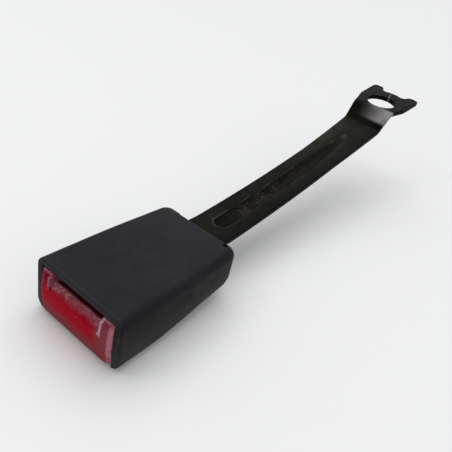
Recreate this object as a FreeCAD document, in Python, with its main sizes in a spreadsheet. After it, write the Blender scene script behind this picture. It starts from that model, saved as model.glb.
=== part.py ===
import FreeCAD, Part
import math
import os
import re

import Sketcher

# Seat belt buckle on a stiff steel strap.
# Every piece is drawn in the buckle's own frame: x is the depth behind the plane of the
# front opening, y is across the width, and z is the height above the flat top (negative is down).
# One placement then turns and shifts every piece into the part's frame, whose origin is the
# centre of the anchor hole at the middle of the plate, with +X towards the push button.

DRIVING_SIZES = [
    # steel strap and anchor plate
    ("strap_width", 19.5, "width of the strap between its edges"),
    ("strap_thick", 2.4, "thickness of the strap's sheet steel"),
    ("tail_inside", 12.4, "length of the strap inside the covers"),
    ("tail_bend_gap", 8.2, "from the covers' rear end to the strap's shallow bend"),
    ("tail_slope", 4.9, "slope of the strap just behind the shallow bend, degrees"),
    ("tail_bend_radius", 30.0, "centre-line radius of the shallow bend"),
    ("tail_lead", 1.0, "straight length between the shallow bend and the long curve"),
    ("arc_radius", 880.0, "centre-line radius of the strap's long curve"),
    ("arc_end_slope", 12.9, "slope at the far end of the long curve, degrees"),
    ("arc_lead", 1.0, "straight length between the long curve and the neck's lower bend"),
    ("neck_slope", 49.0, "slope of the neck between its two bends, degrees"),
    ("neck_length", 11.6, "length of the neck between its bend lines"),
    ("neck_bend_radius", 3.6, "centre-line radius of the neck's bends"),
    ("plate_tilt", 5.4, "slope of the anchor plate, degrees"),
    ("hole_radius", 8.1, "radius of the anchor hole"),
    ("hole_land", 0.4, "flat between the anchor hole and the neck's upper bend"),
    ("plate_half_width", 14.1, "half the width of the anchor plate beside its hole"),
    ("horn_half_span", 14.6, "half the width across the two horns"),
    ("neck_half_width", 10.9, "half the width of the strap at the neck's lower bend"),
    ("head_half_width", 11.8, "half the width of the strap at the neck's upper bend"),
    ("widening_start", 61.0, "from the hole's centre to where the strap starts to widen, in plan"),
    ("neck_foot", 16.5, "from the hole's centre to the neck's lower bend, in plan"),
    ("neck_head", 7.5, "from the hole's centre to the neck's upper bend, in plan"),
    ("flare_end", 1.5, "from the hole's centre outwards to where the plate has its width"),
    ("widening_round", 200.0, "rounding where the strap starts to widen"),
    ("neck_foot_round", 30.0, "rounding of the outline at the neck's lower bend"),
    ("flare_round", 12.0, "rounding where the plate widens"),
    ("horn_length", 20.8, "from the hole's centre to the tips of the two horns"),
    ("horn_width", 6.2, "width of a horn across its rounded tip"),
    ("horn_round", 2.6, "rounding of a horn's tip"),
    ("dip_depth", 14.9, "from the hole's centre to the dip beside a horn"),
    ("crest_depth", 16.9, "from the hole's centre to the crest between the horns"),
    ("dip_half_span", 6.6, "half the distance between the two dips"),
    ("crest_half_span", 2.6, "half the length of the crest between the dips"),
    # pressed rib of the strap
    ("rib_gap", 6.0, "from the shallow bend to where the rib has its full section"),
    ("rib_radius", 4.6, "radius of the groove's section"),
    ("rib_lift", 2.4, "height of the groove's centre above the strap's top"),
    ("rib_wall", 2.0, "thickness left under the groove"),
    ("rib_arc_radius", 590.0, "radius of the path that lifts the rib out of the strap"),
    ("rib_turn", 10.0, "angle of that path, degrees"),
    ("rib_seam_inset", 0.05, "how far the rib's lower sides begin inside the strap"),
    ("groove_side_slope", 58.0, "slope of the groove's sides at its rims, degrees"),
    ("rib_side_slope", 40.0, "slope of the rib's lower sides, degrees"),
    ("rib_entry_length", 6.5, "length of the path's straight run at the rib's near end"),
    ("rib_entry_slope", 38.0, "slope of the path at the rib's near end, degrees"),
    ("rib_trim", 9.0, "length over which the rib's near end is trimmed to the strap"),
    ("rib_entry_radius", 7.5, "radius of the path at the rib's near end"),
    # covers
    ("front_half_width", 21.3, "half the width of the covers at the front"),
    ("middle_half_width", 20.95, "half the width where the sides' tangents cross"),
    ("rear_half_width", 19.4, "half the width of the covers at the rear"),
    ("side_curve_radius", 420.0, "radius of the gentle curve of the sides"),
    ("cover_length", 61.0, "length of the covers"),
    ("cover_height", 22.3, "height of the covers at the front"),
    ("cover_wall", 2.0, "wall of the covers"),
    ("edge_round", 3.4, "rounding of the upper cover's long edges"),
    ("belly_edge_round", 4.6, "rounding of the lower cover's long edges"),
    ("rim_round", 0.9, "rounding of the covers' front rim"),
    ("rear_corner_round", 4.8, "rounding of the rear corners seen from above"),
    ("belly_end_depth", 18.0, "depth at which the flat underside begins to rise"),
    ("belly_rise_depth", 42.0, "depth at the middle of the rising underside"),
    ("belly_rise_height", 3.0, "rise of the underside at that depth"),
    ("heel_rise_height", 4.6, "rise of the underside at the rear end"),
    ("heel_round", 7.0, "rounding of the heel"),
    ("belly_round", 40.0, "rounding where the underside changes its slope"),
    ("parting_front", 11.0, "distance from the top to the parting line at the front"),
    ("parting_flat_depth", 15.0, "depth to which the parting line runs level"),
    ("parting_rear", 7.2, "distance from the top to the parting line at the rear"),
    ("rim_depth", 3.0, "thickness of the rim round the front opening"),
    ("rear_wall", 4.0, "thickness of the rear wall at its corners"),
    ("recess_depth", 2.4, "depth of the recess at the strap's exit"),
    ("recess_half_width", 11.6, "half the width of that recess"),
    ("recess_round", 1.6, "rounding of the recess"),
    ("tool_hole_radius", 1.1, "radius of the small hole beside the strap's exit"),
    ("tool_hole_side", 14.4, "distance of that hole from the middle"),
    ("tool_hole_inset", 3.0, "distance of that hole from the rear end"),
    ("tool_hole_sink", 2.6, "depth of that hole"),
    ("inner_rib_width", 1.6, "thickness of the covers' inner ribs"),
    ("front_rib_inset", 3.5, "from the side walls' front edge to the front pair of inner ribs"),
    ("rear_rib_inset", 13.5, "from the side walls' rear edge to the rear pair of inner ribs"),
    ("pad_thick", 0.8, "thickness of the pads under the frame"),
    ("felt_thick", 0.6, "thickness of the felt above the rivets"),
    ("felt_half_width", 9.0, "half the width of that felt"),
    ("hook_shift", 2.5, "from the covers' middle to the front pair of snap hooks"),
    ("rear_hook_inset", 12.0, "from the covers' rear end to the rear pair of snap hooks"),
    ("hook_width", 4.0, "width of a snap hook along the cover"),
    ("hook_thick", 1.2, "thickness of a snap hook"),
    ("hook_reach", 3.4, "length of a snap hook below the parting line"),
    ("hook_nib", 0.7, "height of a snap hook's nib"),
    ("hook_gap", 0.2, "gap between a snap hook and the lower cover's wall"),
    # push button
    ("button_half_width", 17.8, "half the width of the push button"),
    ("button_top", 3.2, "distance from the covers' top to the button's top corners"),
    ("button_bottom", 22.0, "distance from the covers' top to the button's lower edge"),
    ("button_proud", 1.6, "how far the button's face stands out at its middle"),
    ("top_proud", 1.0, "how far the button's top edge stands out"),
    ("foot_proud", 0.3, "how far the button's lower edge stands out"),
    ("button_corner_round", 3.0, "rounding of the button's lower corners"),
    ("button_block", 6.5, "length of the button's block"),
    ("button_lip", 3.0, "length of the button's lower lip"),
    ("button_bevel", 1.3, "bevel round the button's face"),
    ("button_wall", 2.8, "wall of the hollow button"),
    ("button_gap", 0.3, "gap round the button in the front opening"),
    ("button_travel", 5.0, "travel of the push button"),
    ("shoulder_half_width", 19.0, "half the width across the button's stop shoulders"),
    ("shoulder_thick", 2.1, "thickness of the stop shoulders"),
    ("shoulder_top", 8.0, "distance from the covers' top to the shoulders' top"),
    ("shoulder_bottom", 19.0, "distance from the covers' top to the shoulders' bottom"),
    ("slot_half_width", 12.5, "half the width of the tongue slot"),
    ("slot_sill", 6.5, "distance from the covers' top to the sill of the tongue slot"),
    ("sill_slope", 40.0, "slope of the worn bevel in front of the sill, degrees"),
    ("ramp_slope", 45.0, "slope of the ramp behind the sill, degrees"),
    ("ramp_gap", 0.5, "gap between the button's block and the base plate above it"),
    ("horn_block", 4.7, "length of the button's two upper corners"),
    ("face_radius", 45.0, "radius of the button's bulging face in side view"),
    ("face_apex", 0.7, "distance from the face to the crossing of its tangents"),
    ("hollow_top", 11.5, "distance from the covers' top to the button's hollow"),
    ("hollow_bottom", 18.5, "distance from the covers' top to the hollow's floor"),
    ("sill_depth", 1.7, "depth of the sill's crest behind the front plane"),
    ("sill_round", 0.8, "rounding of the sill's crest"),
    # steel frame
    ("tongue_room", 5.0, "height between the upper cover and the base plate"),
    ("base_thick", 2.2, "thickness of the frame's base plate"),
    ("base_front", 10.1, "depth of the base plate's front edge"),
    ("base_gap", 0.5, "gap between the base plate and the rear wall"),
    ("frame_half_width", 14.6, "half the width of the frame"),
    ("frame_wall", 1.8, "thickness of the frame's side walls"),
    ("frame_bend_radius", 1.0, "outer rounding where the side walls turn down"),
    ("frame_wall_front", 13.5, "depth of the side walls' front edge"),
    ("frame_wall_reach", 5.5, "length of the side walls behind the latch's pivot"),
    ("frame_wall_taper", 5.0, "length of the side walls' sloping rear end"),
    ("frame_wall_round", 2.0, "rounding of the side walls' corners"),
    ("frame_wall_bottom", 16.9, "distance from the covers' top to the side walls' lower edge"),
    ("tail_room", 0.3, "gap round the strap in the covers' exit"),
    ("rivet_radius", 2.5, "radius of the rivets' shanks"),
    ("rivet_head_radius", 3.5, "radius of the rivets' heads"),
    ("rivet_head_height", 1.6, "height of the rivets' heads"),
    ("rivet_inset", 8.8, "from the covers' rear end to the rivets' axes"),
    ("rivet_side", 5.2, "distance of the rivets from the middle"),
    # latch and its pin
    ("pivot_inset", 19.5, "from the covers' rear end to the latch's pivot"),
    ("pivot_drop", 11.6, "distance from the covers' top to the latch's pivot"),
    ("pin_radius", 1.25, "radius of the latch's pin"),
    ("pin_fit", 0.04, "radial clearance of the pins in their holes"),
    ("pin_groove", 0.3, "depth of the pin's grooves"),
    ("pin_end", 1.4, "length of the pin outside the frame"),
    ("clip_thick", 0.6, "thickness of the pin's clips"),
    ("clip_radius", 2.7, "outer radius of the pin's clips"),
    ("clip_opening", 1.5, "width of the opening of the pin's clips"),
    ("clip_side_gap", 0.15, "gap between a clip and the frame"),
    ("latch_half_width", 9.6, "half the width of the latch plate"),
    ("latch_thick", 3.0, "thickness of the latch plate"),
    ("latch_boss_radius", 2.1, "radius of the latch round its pin"),
    ("latch_lip", 1.4, "length of the latch plate in front of the nose"),
    ("nose_length", 4.0, "length of the nose"),
    ("nose_reach", 13.5, "from the nose's locking face to the pivot"),
    ("nose_top", 4.5, "distance from the covers' top to the nose's crest"),
    ("nose_ramp", 2.0, "length of the nose's ramp"),
    ("nose_half_width", 6.0, "half the width of the nose"),
    ("window_gap", 0.6, "gap round the nose in the base plate's window"),
    ("window_front_gap", 1.2, "gap in front of the nose for its swing"),
    ("under_base_gap", 0.4, "gap between the latch and the base plate"),
    ("lug_radius", 1.0, "radius of the latch's lugs"),
    ("lug_reach", 13.5, "from the lugs' axis to the pivot"),
    ("lug_drop", 11.4, "distance from the covers' top to the lugs' axis"),
    ("lug_length", 1.3, "length of the latch's lugs"),
    ("latch_angle", 11.5, "angle through which the latch opens, degrees"),
    ("relief_reach", 9.9, "from the relief of the latch's underside to the pivot"),
    ("relief_height", 1.1, "height of that relief"),
    ("nose_round", 0.4, "rounding of the nose's crest"),
    # release slider and lock bar
    ("bar_radius", 1.25, "radius of the lock bar"),
    ("bar_lead", 0.1, "from the lock bar's axis at rest to the latch's relief"),
    ("bar_gap", 0.3, "gap between the lock bar and the latch"),
    ("bar_overhang", 0.5, "length of the lock bar outside the frame"),
    ("arm_thick", 1.3, "thickness of the slider's arms"),
    ("arm_top", 11.2, "distance from the covers' top to the arms' top"),
    ("arm_bottom", 16.3, "distance from the covers' top to the arms' bottom"),
    ("arm_end", 2.4, "length of the arms behind the lock bar"),
    ("slider_plate", 2.4, "thickness of the slider's front plate"),
    ("slider_bottom", 17.8, "distance from the covers' top to the slider's bottom"),
    ("side_gap", 0.3, "side clearance of the sliding pieces"),
    ("cam_gap", 0.3, "gap between a cam and a lug"),
    ("cam_reach", 6.5, "length of the cams in front of the lugs' axis at rest"),
    ("cam_end_height", 0.16, "height of the cams' blunt rear end"),
    ("tie_inner", 8.0, "distance from the middle to the slider's two ties in the button"),
    ("tie_outer", 11.0, "distance from the middle to the outer faces of those ties"),
    ("tie_top", 13.0, "distance from the covers' top to those ties"),
    ("tie_bottom", 16.0, "distance from the covers' top to the undersides of those ties"),
    # ejector, tongue guide and springs
    ("ejector_front_gap", 0.9, "gap between the nose and the ejector at rest"),
    ("ejector_length", 6.1, "length of the ejector"),
    ("ejector_travel", 7.5, "travel of the ejector"),
    ("ejector_top", 2.5, "distance from the covers' top to the ejector's top"),
    ("glide_gap", 0.15, "gap between the ejector and the base plate"),
    ("wing_reach", 0.9, "reach of the ejector's wings into the guide's grooves"),
    ("wing_length", 3.0, "length of the ejector's wings"),
    ("wing_inset", 1.4, "distance from the ejector's front to its wings"),
    ("wing_height", 1.2, "height of the ejector's wings"),
    ("guide_rail", 1.9, "width of the tongue guide's rails"),
    ("guide_lead_in", 0.65, "bevel at the mouth of the tongue guide's rails"),
    ("guide_top_gap", 0.3, "gap between the tongue guide and the upper cover"),
    ("guide_wall", 2.5, "thickness of the tongue guide's rear wall"),
    ("guide_strap_gap", 0.5, "gap between the tongue guide and the strap's end"),
    ("ejector_spring_radius", 1.4, "outer radius of the ejector's spring"),
    ("ejector_spring_wire", 0.4, "wire of the ejector's spring"),
    ("ejector_spring_turns", 9.0, "turns of the ejector's spring"),
    ("ejector_bore_sink", 4.6, "depth of the spring's bore in the ejector"),
    ("spring_room", 0.2, "gap round a spring in its bore"),
    ("button_spring_radius", 1.4, "outer radius of the button's springs"),
    ("button_spring_wire", 0.45, "wire of the button's springs"),
    ("button_spring_turns", 12.0, "turns of the button's springs"),
    ("button_spring_side", 16.4, "distance of the button's springs from the middle"),
    ("button_spring_drop", 13.4, "distance from the covers' top to the button's springs"),
    ("post_depth", 22.0, "depth of the posts that hold the button's springs"),
    ("post_thick", 2.0, "thickness of those posts"),
    ("latch_spring_radius", 2.5, "outer radius of the latch's spring"),
    ("latch_spring_wire", 0.55, "wire of the latch's spring"),
    ("latch_spring_turns", 4.0, "turns of the latch's spring"),
    ("latch_spring_gap", 2.35, "gap between the latch's spring and the lock bar"),
    ("latch_seat_drop", 19.3, "distance from the covers' top to the latch spring's seat"),
    ("latch_stud_height", 1.65, "height of the stud inside the latch's spring"),
    ("peg_radius", 0.75, "radius of the pegs inside the small springs"),
    ("peg_length", 2.0, "length of those pegs"),
    ("seat_gap", 0.1, "gap between pieces that rest on each other"),
    ("notch_room", 0.5, "gap between the pressed button's lip and the lower cover's notch"),
    ("face_thick", 2.2, "distance from the front plane to the button's hollow"),
]

# Depths that follow from the sizes above: the lock is set out forwards from the covers' rear end,
# where the strap is riveted in, so that it keeps its place there when the covers' length changes.
WORKED_OUT_SIZES = [
    ("tail_start", "=cover_length - tail_inside", "depth of the strap's end inside the buckle"),
    ("tail_bend_depth", "=cover_length + tail_bend_gap", "depth of the strap's shallow bend"),
    ("rib_start", "=tail_bend_depth + rib_gap", "depth at which the rib has its full section"),
    ("rivet_depth", "=cover_length - rivet_inset", "depth of the rivets' axes"),
    ("pivot_depth", "=cover_length - pivot_inset", "depth of the latch's pivot"),
    ("frame_wall_rear", "=pivot_depth + frame_wall_reach", "depth of the side walls' rear edge"),
    ("nose_rear", "=pivot_depth - nose_reach", "depth of the nose's locking face"),
    ("nose_front", "=nose_rear - nose_length", "depth of the nose's front face"),
    ("latch_front", "=nose_front - latch_lip", "depth of the latch plate's front edge"),
    ("lug_depth", "=pivot_depth - lug_reach", "depth of the lugs' axis"),
    ("relief_start", "=pivot_depth - relief_reach", "depth of the latch's relief"),
    ("bar_depth", "=relief_start - bar_lead", "depth of the lock bar's axis at rest"),
    ("cam_front", "=lug_depth - cam_reach", "depth of the cams' front end at rest"),
    ("latch_spring_depth", "=bar_depth - bar_radius - latch_spring_gap - latch_spring_radius",
     "depth of the latch's spring"),
    ("front_rib_depth", "=frame_wall_front + front_rib_inset", "depth of the front inner ribs"),
    ("rear_rib_depth", "=frame_wall_rear - rear_rib_inset", "depth of the rear inner ribs"),
    ("hook_depth", "=cover_length / 2 + hook_shift", "depth of the front pair of snap hooks"),
    ("rear_hook_depth", "=cover_length - rear_hook_inset", "depth of the rear pair of snap hooks"),
]

doc = FreeCAD.newDocument("SeatBeltBuckle")
sheet = doc.addObject("Spreadsheet::Sheet", "Sizes")
for row, (alias, content, meaning) in enumerate(DRIVING_SIZES + WORKED_OUT_SIZES, start=1):
    sheet.set("A%d" % row, alias)
    sheet.set("B%d" % row, str(content))
    sheet.set("C%d" % row, meaning)
    sheet.setAlias("B%d" % row, alias)
    doc.recompute()

SIZE_NAME = re.compile(r"\b[a-z]+(?:_[a-z]+)+\b")
pieces = []


def bound(text):
    """An expression with the sheet's name put before each size."""
    return SIZE_NAME.sub(lambda found: "Sizes." + found.group(0), text)


def size(text):
    """The present value of an expression of the sheet's sizes."""
    answer = sheet.evalExpression(bound(text))
    return float(getattr(answer, "Value", answer))


def new_body(name):
    """A body whose features build one piece."""
    body = doc.addObject("PartDesign::Body", name)
    body.AllowCompound = True
    return body


def sketch_on(body, role, name, lift="0"):
    """A sketch on one of the body's origin planes, lifted along the plane's normal."""
    plane = [item for item in body.Origin.OriginFeatures if item.Role == role][0]
    sketch = body.newObject("Sketcher::SketchObject", name)
    sketch.AttachmentSupport = [(plane, "")]
    sketch.MapMode = "FlatFace"
    if lift != "0":
        sketch.AttachmentOffset = FreeCAD.Placement(FreeCAD.Vector(0, 0, size(lift)), FreeCAD.Rotation())
        sketch.setExpression("AttachmentOffset.Base.z", bound(lift))
    return sketch


def tilt_sketch(sketch, base, axis, angle):
    """Moves an attached sketch within its plane's own axes and turns it about one of them."""
    spot = FreeCAD.Vector(*[size(text) for text in base])
    sketch.AttachmentOffset = FreeCAD.Placement(spot, FreeCAD.Rotation(axis, size(angle)))
    for letter, text in zip("xyz", base):
        if text != "0":
            sketch.setExpression("AttachmentOffset.Base." + letter, bound(text))
    sketch.setExpression("AttachmentOffset.Rotation.Angle", bound(angle))


def place_point(sketch, geometry, point, across, up):
    """Binds the place of a sketch point to two expressions."""
    for kind, text in (("DistanceX", across), ("DistanceY", up)):
        number = sketch.addConstraint(Sketcher.Constraint(kind, -1, 1, geometry, point, size(text)))
        sketch.setExpression("Constraints[%d]" % number, bound(text))


def draw_outline(sketch, corners, closed=True):
    """Draws straight runs between corners given as (across, up) or (across, up, radius)."""
    count = len(corners)
    spots = [FreeCAD.Vector(size(corner[0]), size(corner[1]), 0) for corner in corners]
    radii = [size(corner[2]) if len(corner) > 2 else 0.0 for corner in corners]
    if not closed:
        radii[0] = radii[-1] = 0.0
    before = [None] * count
    after = [None] * count
    centres = [None] * count
    for index, spot in enumerate(spots):
        before[index] = after[index] = spot
        if radii[index] > 0:
            back = (spots[index - 1] - spot).normalize()
            ahead = (spots[(index + 1) % count] - spot).normalize()
            half_turn = (math.pi - back.getAngle(ahead)) / 2
            reach = radii[index] * math.tan(half_turn)
            before[index] = spot + back * reach
            after[index] = spot + ahead * reach
            middle = (back + ahead).normalize()
            centres[index] = spot + middle * (radii[index] / math.cos(half_turn))
    runs = count if closed else count - 1
    lines = []
    for index in range(runs):
        start = after[index]
        end = before[(index + 1) % count]
        lines.append(sketch.addGeometry(Part.LineSegment(start, end), False))
    for index in range(count):
        has_before = closed or index > 0
        has_after = closed or index < count - 1
        if radii[index] > 0:
            round_corner(sketch, corners[index], spots[index], centres[index], radii[index],
                         before[index], after[index], lines[index - 1], lines[index])
        elif has_before and has_after:
            sketch.addConstraint(Sketcher.Constraint("Coincident", lines[index - 1], 2, lines[index], 1))
            place_point(sketch, lines[index], 1, corners[index][0], corners[index][1])
        elif has_after:
            place_point(sketch, lines[index], 1, corners[index][0], corners[index][1])
        else:
            place_point(sketch, lines[index - 1], 2, corners[index][0], corners[index][1])


def round_corner(sketch, corner, spot, centre, radius, first, last, line_in, line_out):
    """Joins two lines of an outline by a tangent arc about their common corner."""
    mark = sketch.addGeometry(Part.Point(spot), True)
    place_point(sketch, mark, 1, corner[0], corner[1])
    sketch.addConstraint(Sketcher.Constraint("PointOnObject", mark, 1, line_in))
    sketch.addConstraint(Sketcher.Constraint("PointOnObject", mark, 1, line_out))
    turns_left = (spot - first).cross(last - spot).z > 0
    start, end = (first, last) if turns_left else (last, first)
    circle = Part.Circle(centre, FreeCAD.Vector(0, 0, 1), radius)
    start_angle = math.atan2(start.y - centre.y, start.x - centre.x)
    end_angle = math.atan2(end.y - centre.y, end.x - centre.x)
    arc = sketch.addGeometry(Part.ArcOfCircle(circle, start_angle, end_angle), False)
    start_point, end_point = (1, 2) if turns_left else (2, 1)
    sketch.addConstraint(Sketcher.Constraint("Tangent", line_in, 2, arc, start_point))
    sketch.addConstraint(Sketcher.Constraint("Tangent", arc, end_point, line_out, 1))
    number = sketch.addConstraint(Sketcher.Constraint("Radius", arc, radius))
    sketch.setExpression("Constraints[%d]" % number, bound(corner[2]))


def draw_circle(sketch, across, up, radius):
    """Draws a circle whose centre and radius are expressions."""
    centre = FreeCAD.Vector(size(across), size(up), 0)
    circle = sketch.addGeometry(Part.Circle(centre, FreeCAD.Vector(0, 0, 1), size(radius)), False)
    place_point(sketch, circle, 3, across, up)
    number = sketch.addConstraint(Sketcher.Constraint("Radius", circle, size(radius)))
    sketch.setExpression("Constraints[%d]" % number, bound(radius))


def box_corners(left, right, bottom, top, radius=None):
    """The four corners of a rectangle, with one rounding for all of them if it has any."""
    corners = [(left, bottom), (right, bottom), (right, top), (left, top)]
    if radius is None:
        return corners
    return [corner + (radius,) for corner in corners]


def both_sides(corners):
    """An outline that is mirrored in the line up = 0, from its half above that line."""
    mirrored = [(corner[0], "-(" + corner[1] + ")") + tuple(corner[2:]) for corner in reversed(corners)]
    return corners + mirrored


def extrude(body, kind, name, sketch, length=None, symmetric=False, backwards=False):
    """Adds a pad or a pocket; with no length a pocket goes through everything."""
    feature = body.newObject("PartDesign::" + kind, name)
    feature.Profile = sketch
    if symmetric:
        feature.SideType = "Symmetric"
    if length is None:
        feature.Type = "ThroughAll"
    else:
        feature.Length = size(length)
        feature.setExpression("Length", bound(length))
    feature.Reversed = backwards
    doc.recompute()
    return feature


def add_pipe(body, kind, name, section, path):
    """Sweeps a section along a path, to add or to take away material."""
    pipe = body.newObject("PartDesign::" + kind, name)
    pipe.Profile = section
    pipe.Spine = (path, [])
    doc.recompute()
    return pipe


def mirror_across(body, feature, name):
    """Repeats a feature on the other side of the buckle's middle plane."""
    plane = [item for item in body.Origin.OriginFeatures if item.Role == "XZ_Plane"][0]
    mirrored = body.newObject("PartDesign::Mirrored", name)
    mirrored.Originals = [feature]
    mirrored.MirrorPlane = (plane, [""])
    body.Tip = mirrored
    doc.recompute()
    return mirrored


def dress_edges(body, kind, name, amount, chosen):
    """Rounds or bevels the edges of the body's last feature that a test picks by their middle."""
    base = body.Tip
    names = []
    for number, edge in enumerate(base.Shape.Edges, start=1):
        middle = edge.valueAt((edge.FirstParameter + edge.LastParameter) / 2)
        if chosen(middle, edge):
            names.append("Edge%d" % number)
    feature = body.newObject("PartDesign::" + kind, name)
    feature.Base = (base, names)
    target = "Radius" if kind == "Fillet" else "Size"
    setattr(feature, target, size(amount))
    feature.setExpression(target, bound(amount))
    doc.recompute()
    return feature


SAME_PLACE = 0.01  # coordinates closer than this count as equal


def near(value, text):
    """Whether a coordinate is that of an expression."""
    return abs(value - size(text)) < SAME_PLACE


# Heights in the buckle's frame, as expressions.
BASE_TOP = "-(cover_wall + tongue_room)"
BASE_BOTTOM = "-(cover_wall + tongue_room + base_thick)"
STRAP_MIDDLE = "-(cover_wall + tongue_room - strap_thick / 2)"
LATCH_TOP = "-(cover_wall + tongue_room + base_thick + under_base_gap)"
LATCH_BOTTOM = "-(cover_wall + tongue_room + base_thick + under_base_gap + latch_thick)"
BAR_HEIGHT = "(" + LATCH_BOTTOM + " - bar_gap - bar_radius)"
EJECTOR_AXIS = "((-ejector_top + " + BASE_TOP + " + glide_gap) / 2)"

# Corners of the strap's centre line, from the buckle to the anchor hole.
ARC_TANGENT = "arc_radius * tan((arc_end_slope - tail_slope) / 2)"
FIRST_RUN = "(tail_bend_radius * tan(tail_slope / 2) + tail_lead + " + ARC_TANGENT + ")"
SECOND_RUN = ("(" + ARC_TANGENT + " + arc_lead"
              " + neck_bend_radius * tan((neck_slope - arc_end_slope) / 2))")
PLATE_RUN = "(neck_bend_radius * tan((neck_slope - plate_tilt) / 2) + hole_land + hole_radius)"
ARC_CORNER_X = "(tail_bend_depth + " + FIRST_RUN + " * cos(tail_slope))"
ARC_CORNER_Z = "(" + STRAP_MIDDLE + " + " + FIRST_RUN + " * sin(tail_slope))"
NECK_FOOT_X = "(" + ARC_CORNER_X + " + " + SECOND_RUN + " * cos(arc_end_slope))"
NECK_FOOT_Z = "(" + ARC_CORNER_Z + " + " + SECOND_RUN + " * sin(arc_end_slope))"
NECK_HEAD_X = "(" + NECK_FOOT_X + " + neck_length * cos(neck_slope))"
NECK_HEAD_Z = "(" + NECK_FOOT_Z + " + neck_length * sin(neck_slope))"
HOLE_X = "(" + NECK_HEAD_X + " + " + PLATE_RUN + " * cos(plate_tilt))"
HOLE_Z = "(" + NECK_HEAD_Z + " + " + PLATE_RUN + " * sin(plate_tilt))"
BLANK_END_X = "(" + HOLE_X + " + (horn_length + strap_thick) * cos(plate_tilt))"
BLANK_END_Z = "(" + HOLE_Z + " + (horn_length + strap_thick) * sin(plate_tilt))"

# Path of the pressed rib, above the strap's top face.
RIB_START_Z = ("(" + STRAP_MIDDLE + " + rib_gap * tan(tail_slope)"
               " + (strap_thick / 2 + rib_lift) / cos(tail_slope))")
RIB_ENTRY_X = "(rib_start - rib_entry_length * cos(rib_entry_slope))"
RIB_ENTRY_Z = "(" + RIB_START_Z + " + rib_entry_length * sin(rib_entry_slope))"
RIB_RUN = "(tail_lead + rib_arc_radius * tan(rib_turn / 2))"
RIB_FIRST_RUN = "(" + RIB_RUN + " + rib_entry_radius * tan((rib_entry_slope + tail_slope) / 2))"
RIB_CORNER_X = "(rib_start + " + RIB_FIRST_RUN + " * cos(tail_slope))"
RIB_CORNER_Z = "(" + RIB_START_Z + " + " + RIB_FIRST_RUN + " * sin(tail_slope))"
RIB_SEAM = "(rib_lift + strap_thick - rib_seam_inset)"
RIB_SEAM_HALF = ("(((rib_radius + rib_wall) / cos(rib_side_slope) - " + RIB_SEAM + ")"
                 " / tan(rib_side_slope))")


def hand_over(piece, label, depth="0", side="0", height="0", turn=None):
    """Names a piece and puts it into the part's frame: half a turn about z, then the shift."""
    piece.Label = label
    spin = FreeCAD.Rotation(FreeCAD.Vector(0, 0, 1), 180)
    piece.Placement = FreeCAD.Placement(FreeCAD.Vector(), spin.multiply(turn) if turn else spin)
    piece.setExpression("Placement.Base.x", bound(HOLE_X + " - (" + depth + ")"))
    piece.setExpression("Placement.Base.y", bound("-(" + side + ")"))
    piece.setExpression("Placement.Base.z", bound("(" + height + ") - " + HOLE_Z))
    pieces.append(piece)


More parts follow.
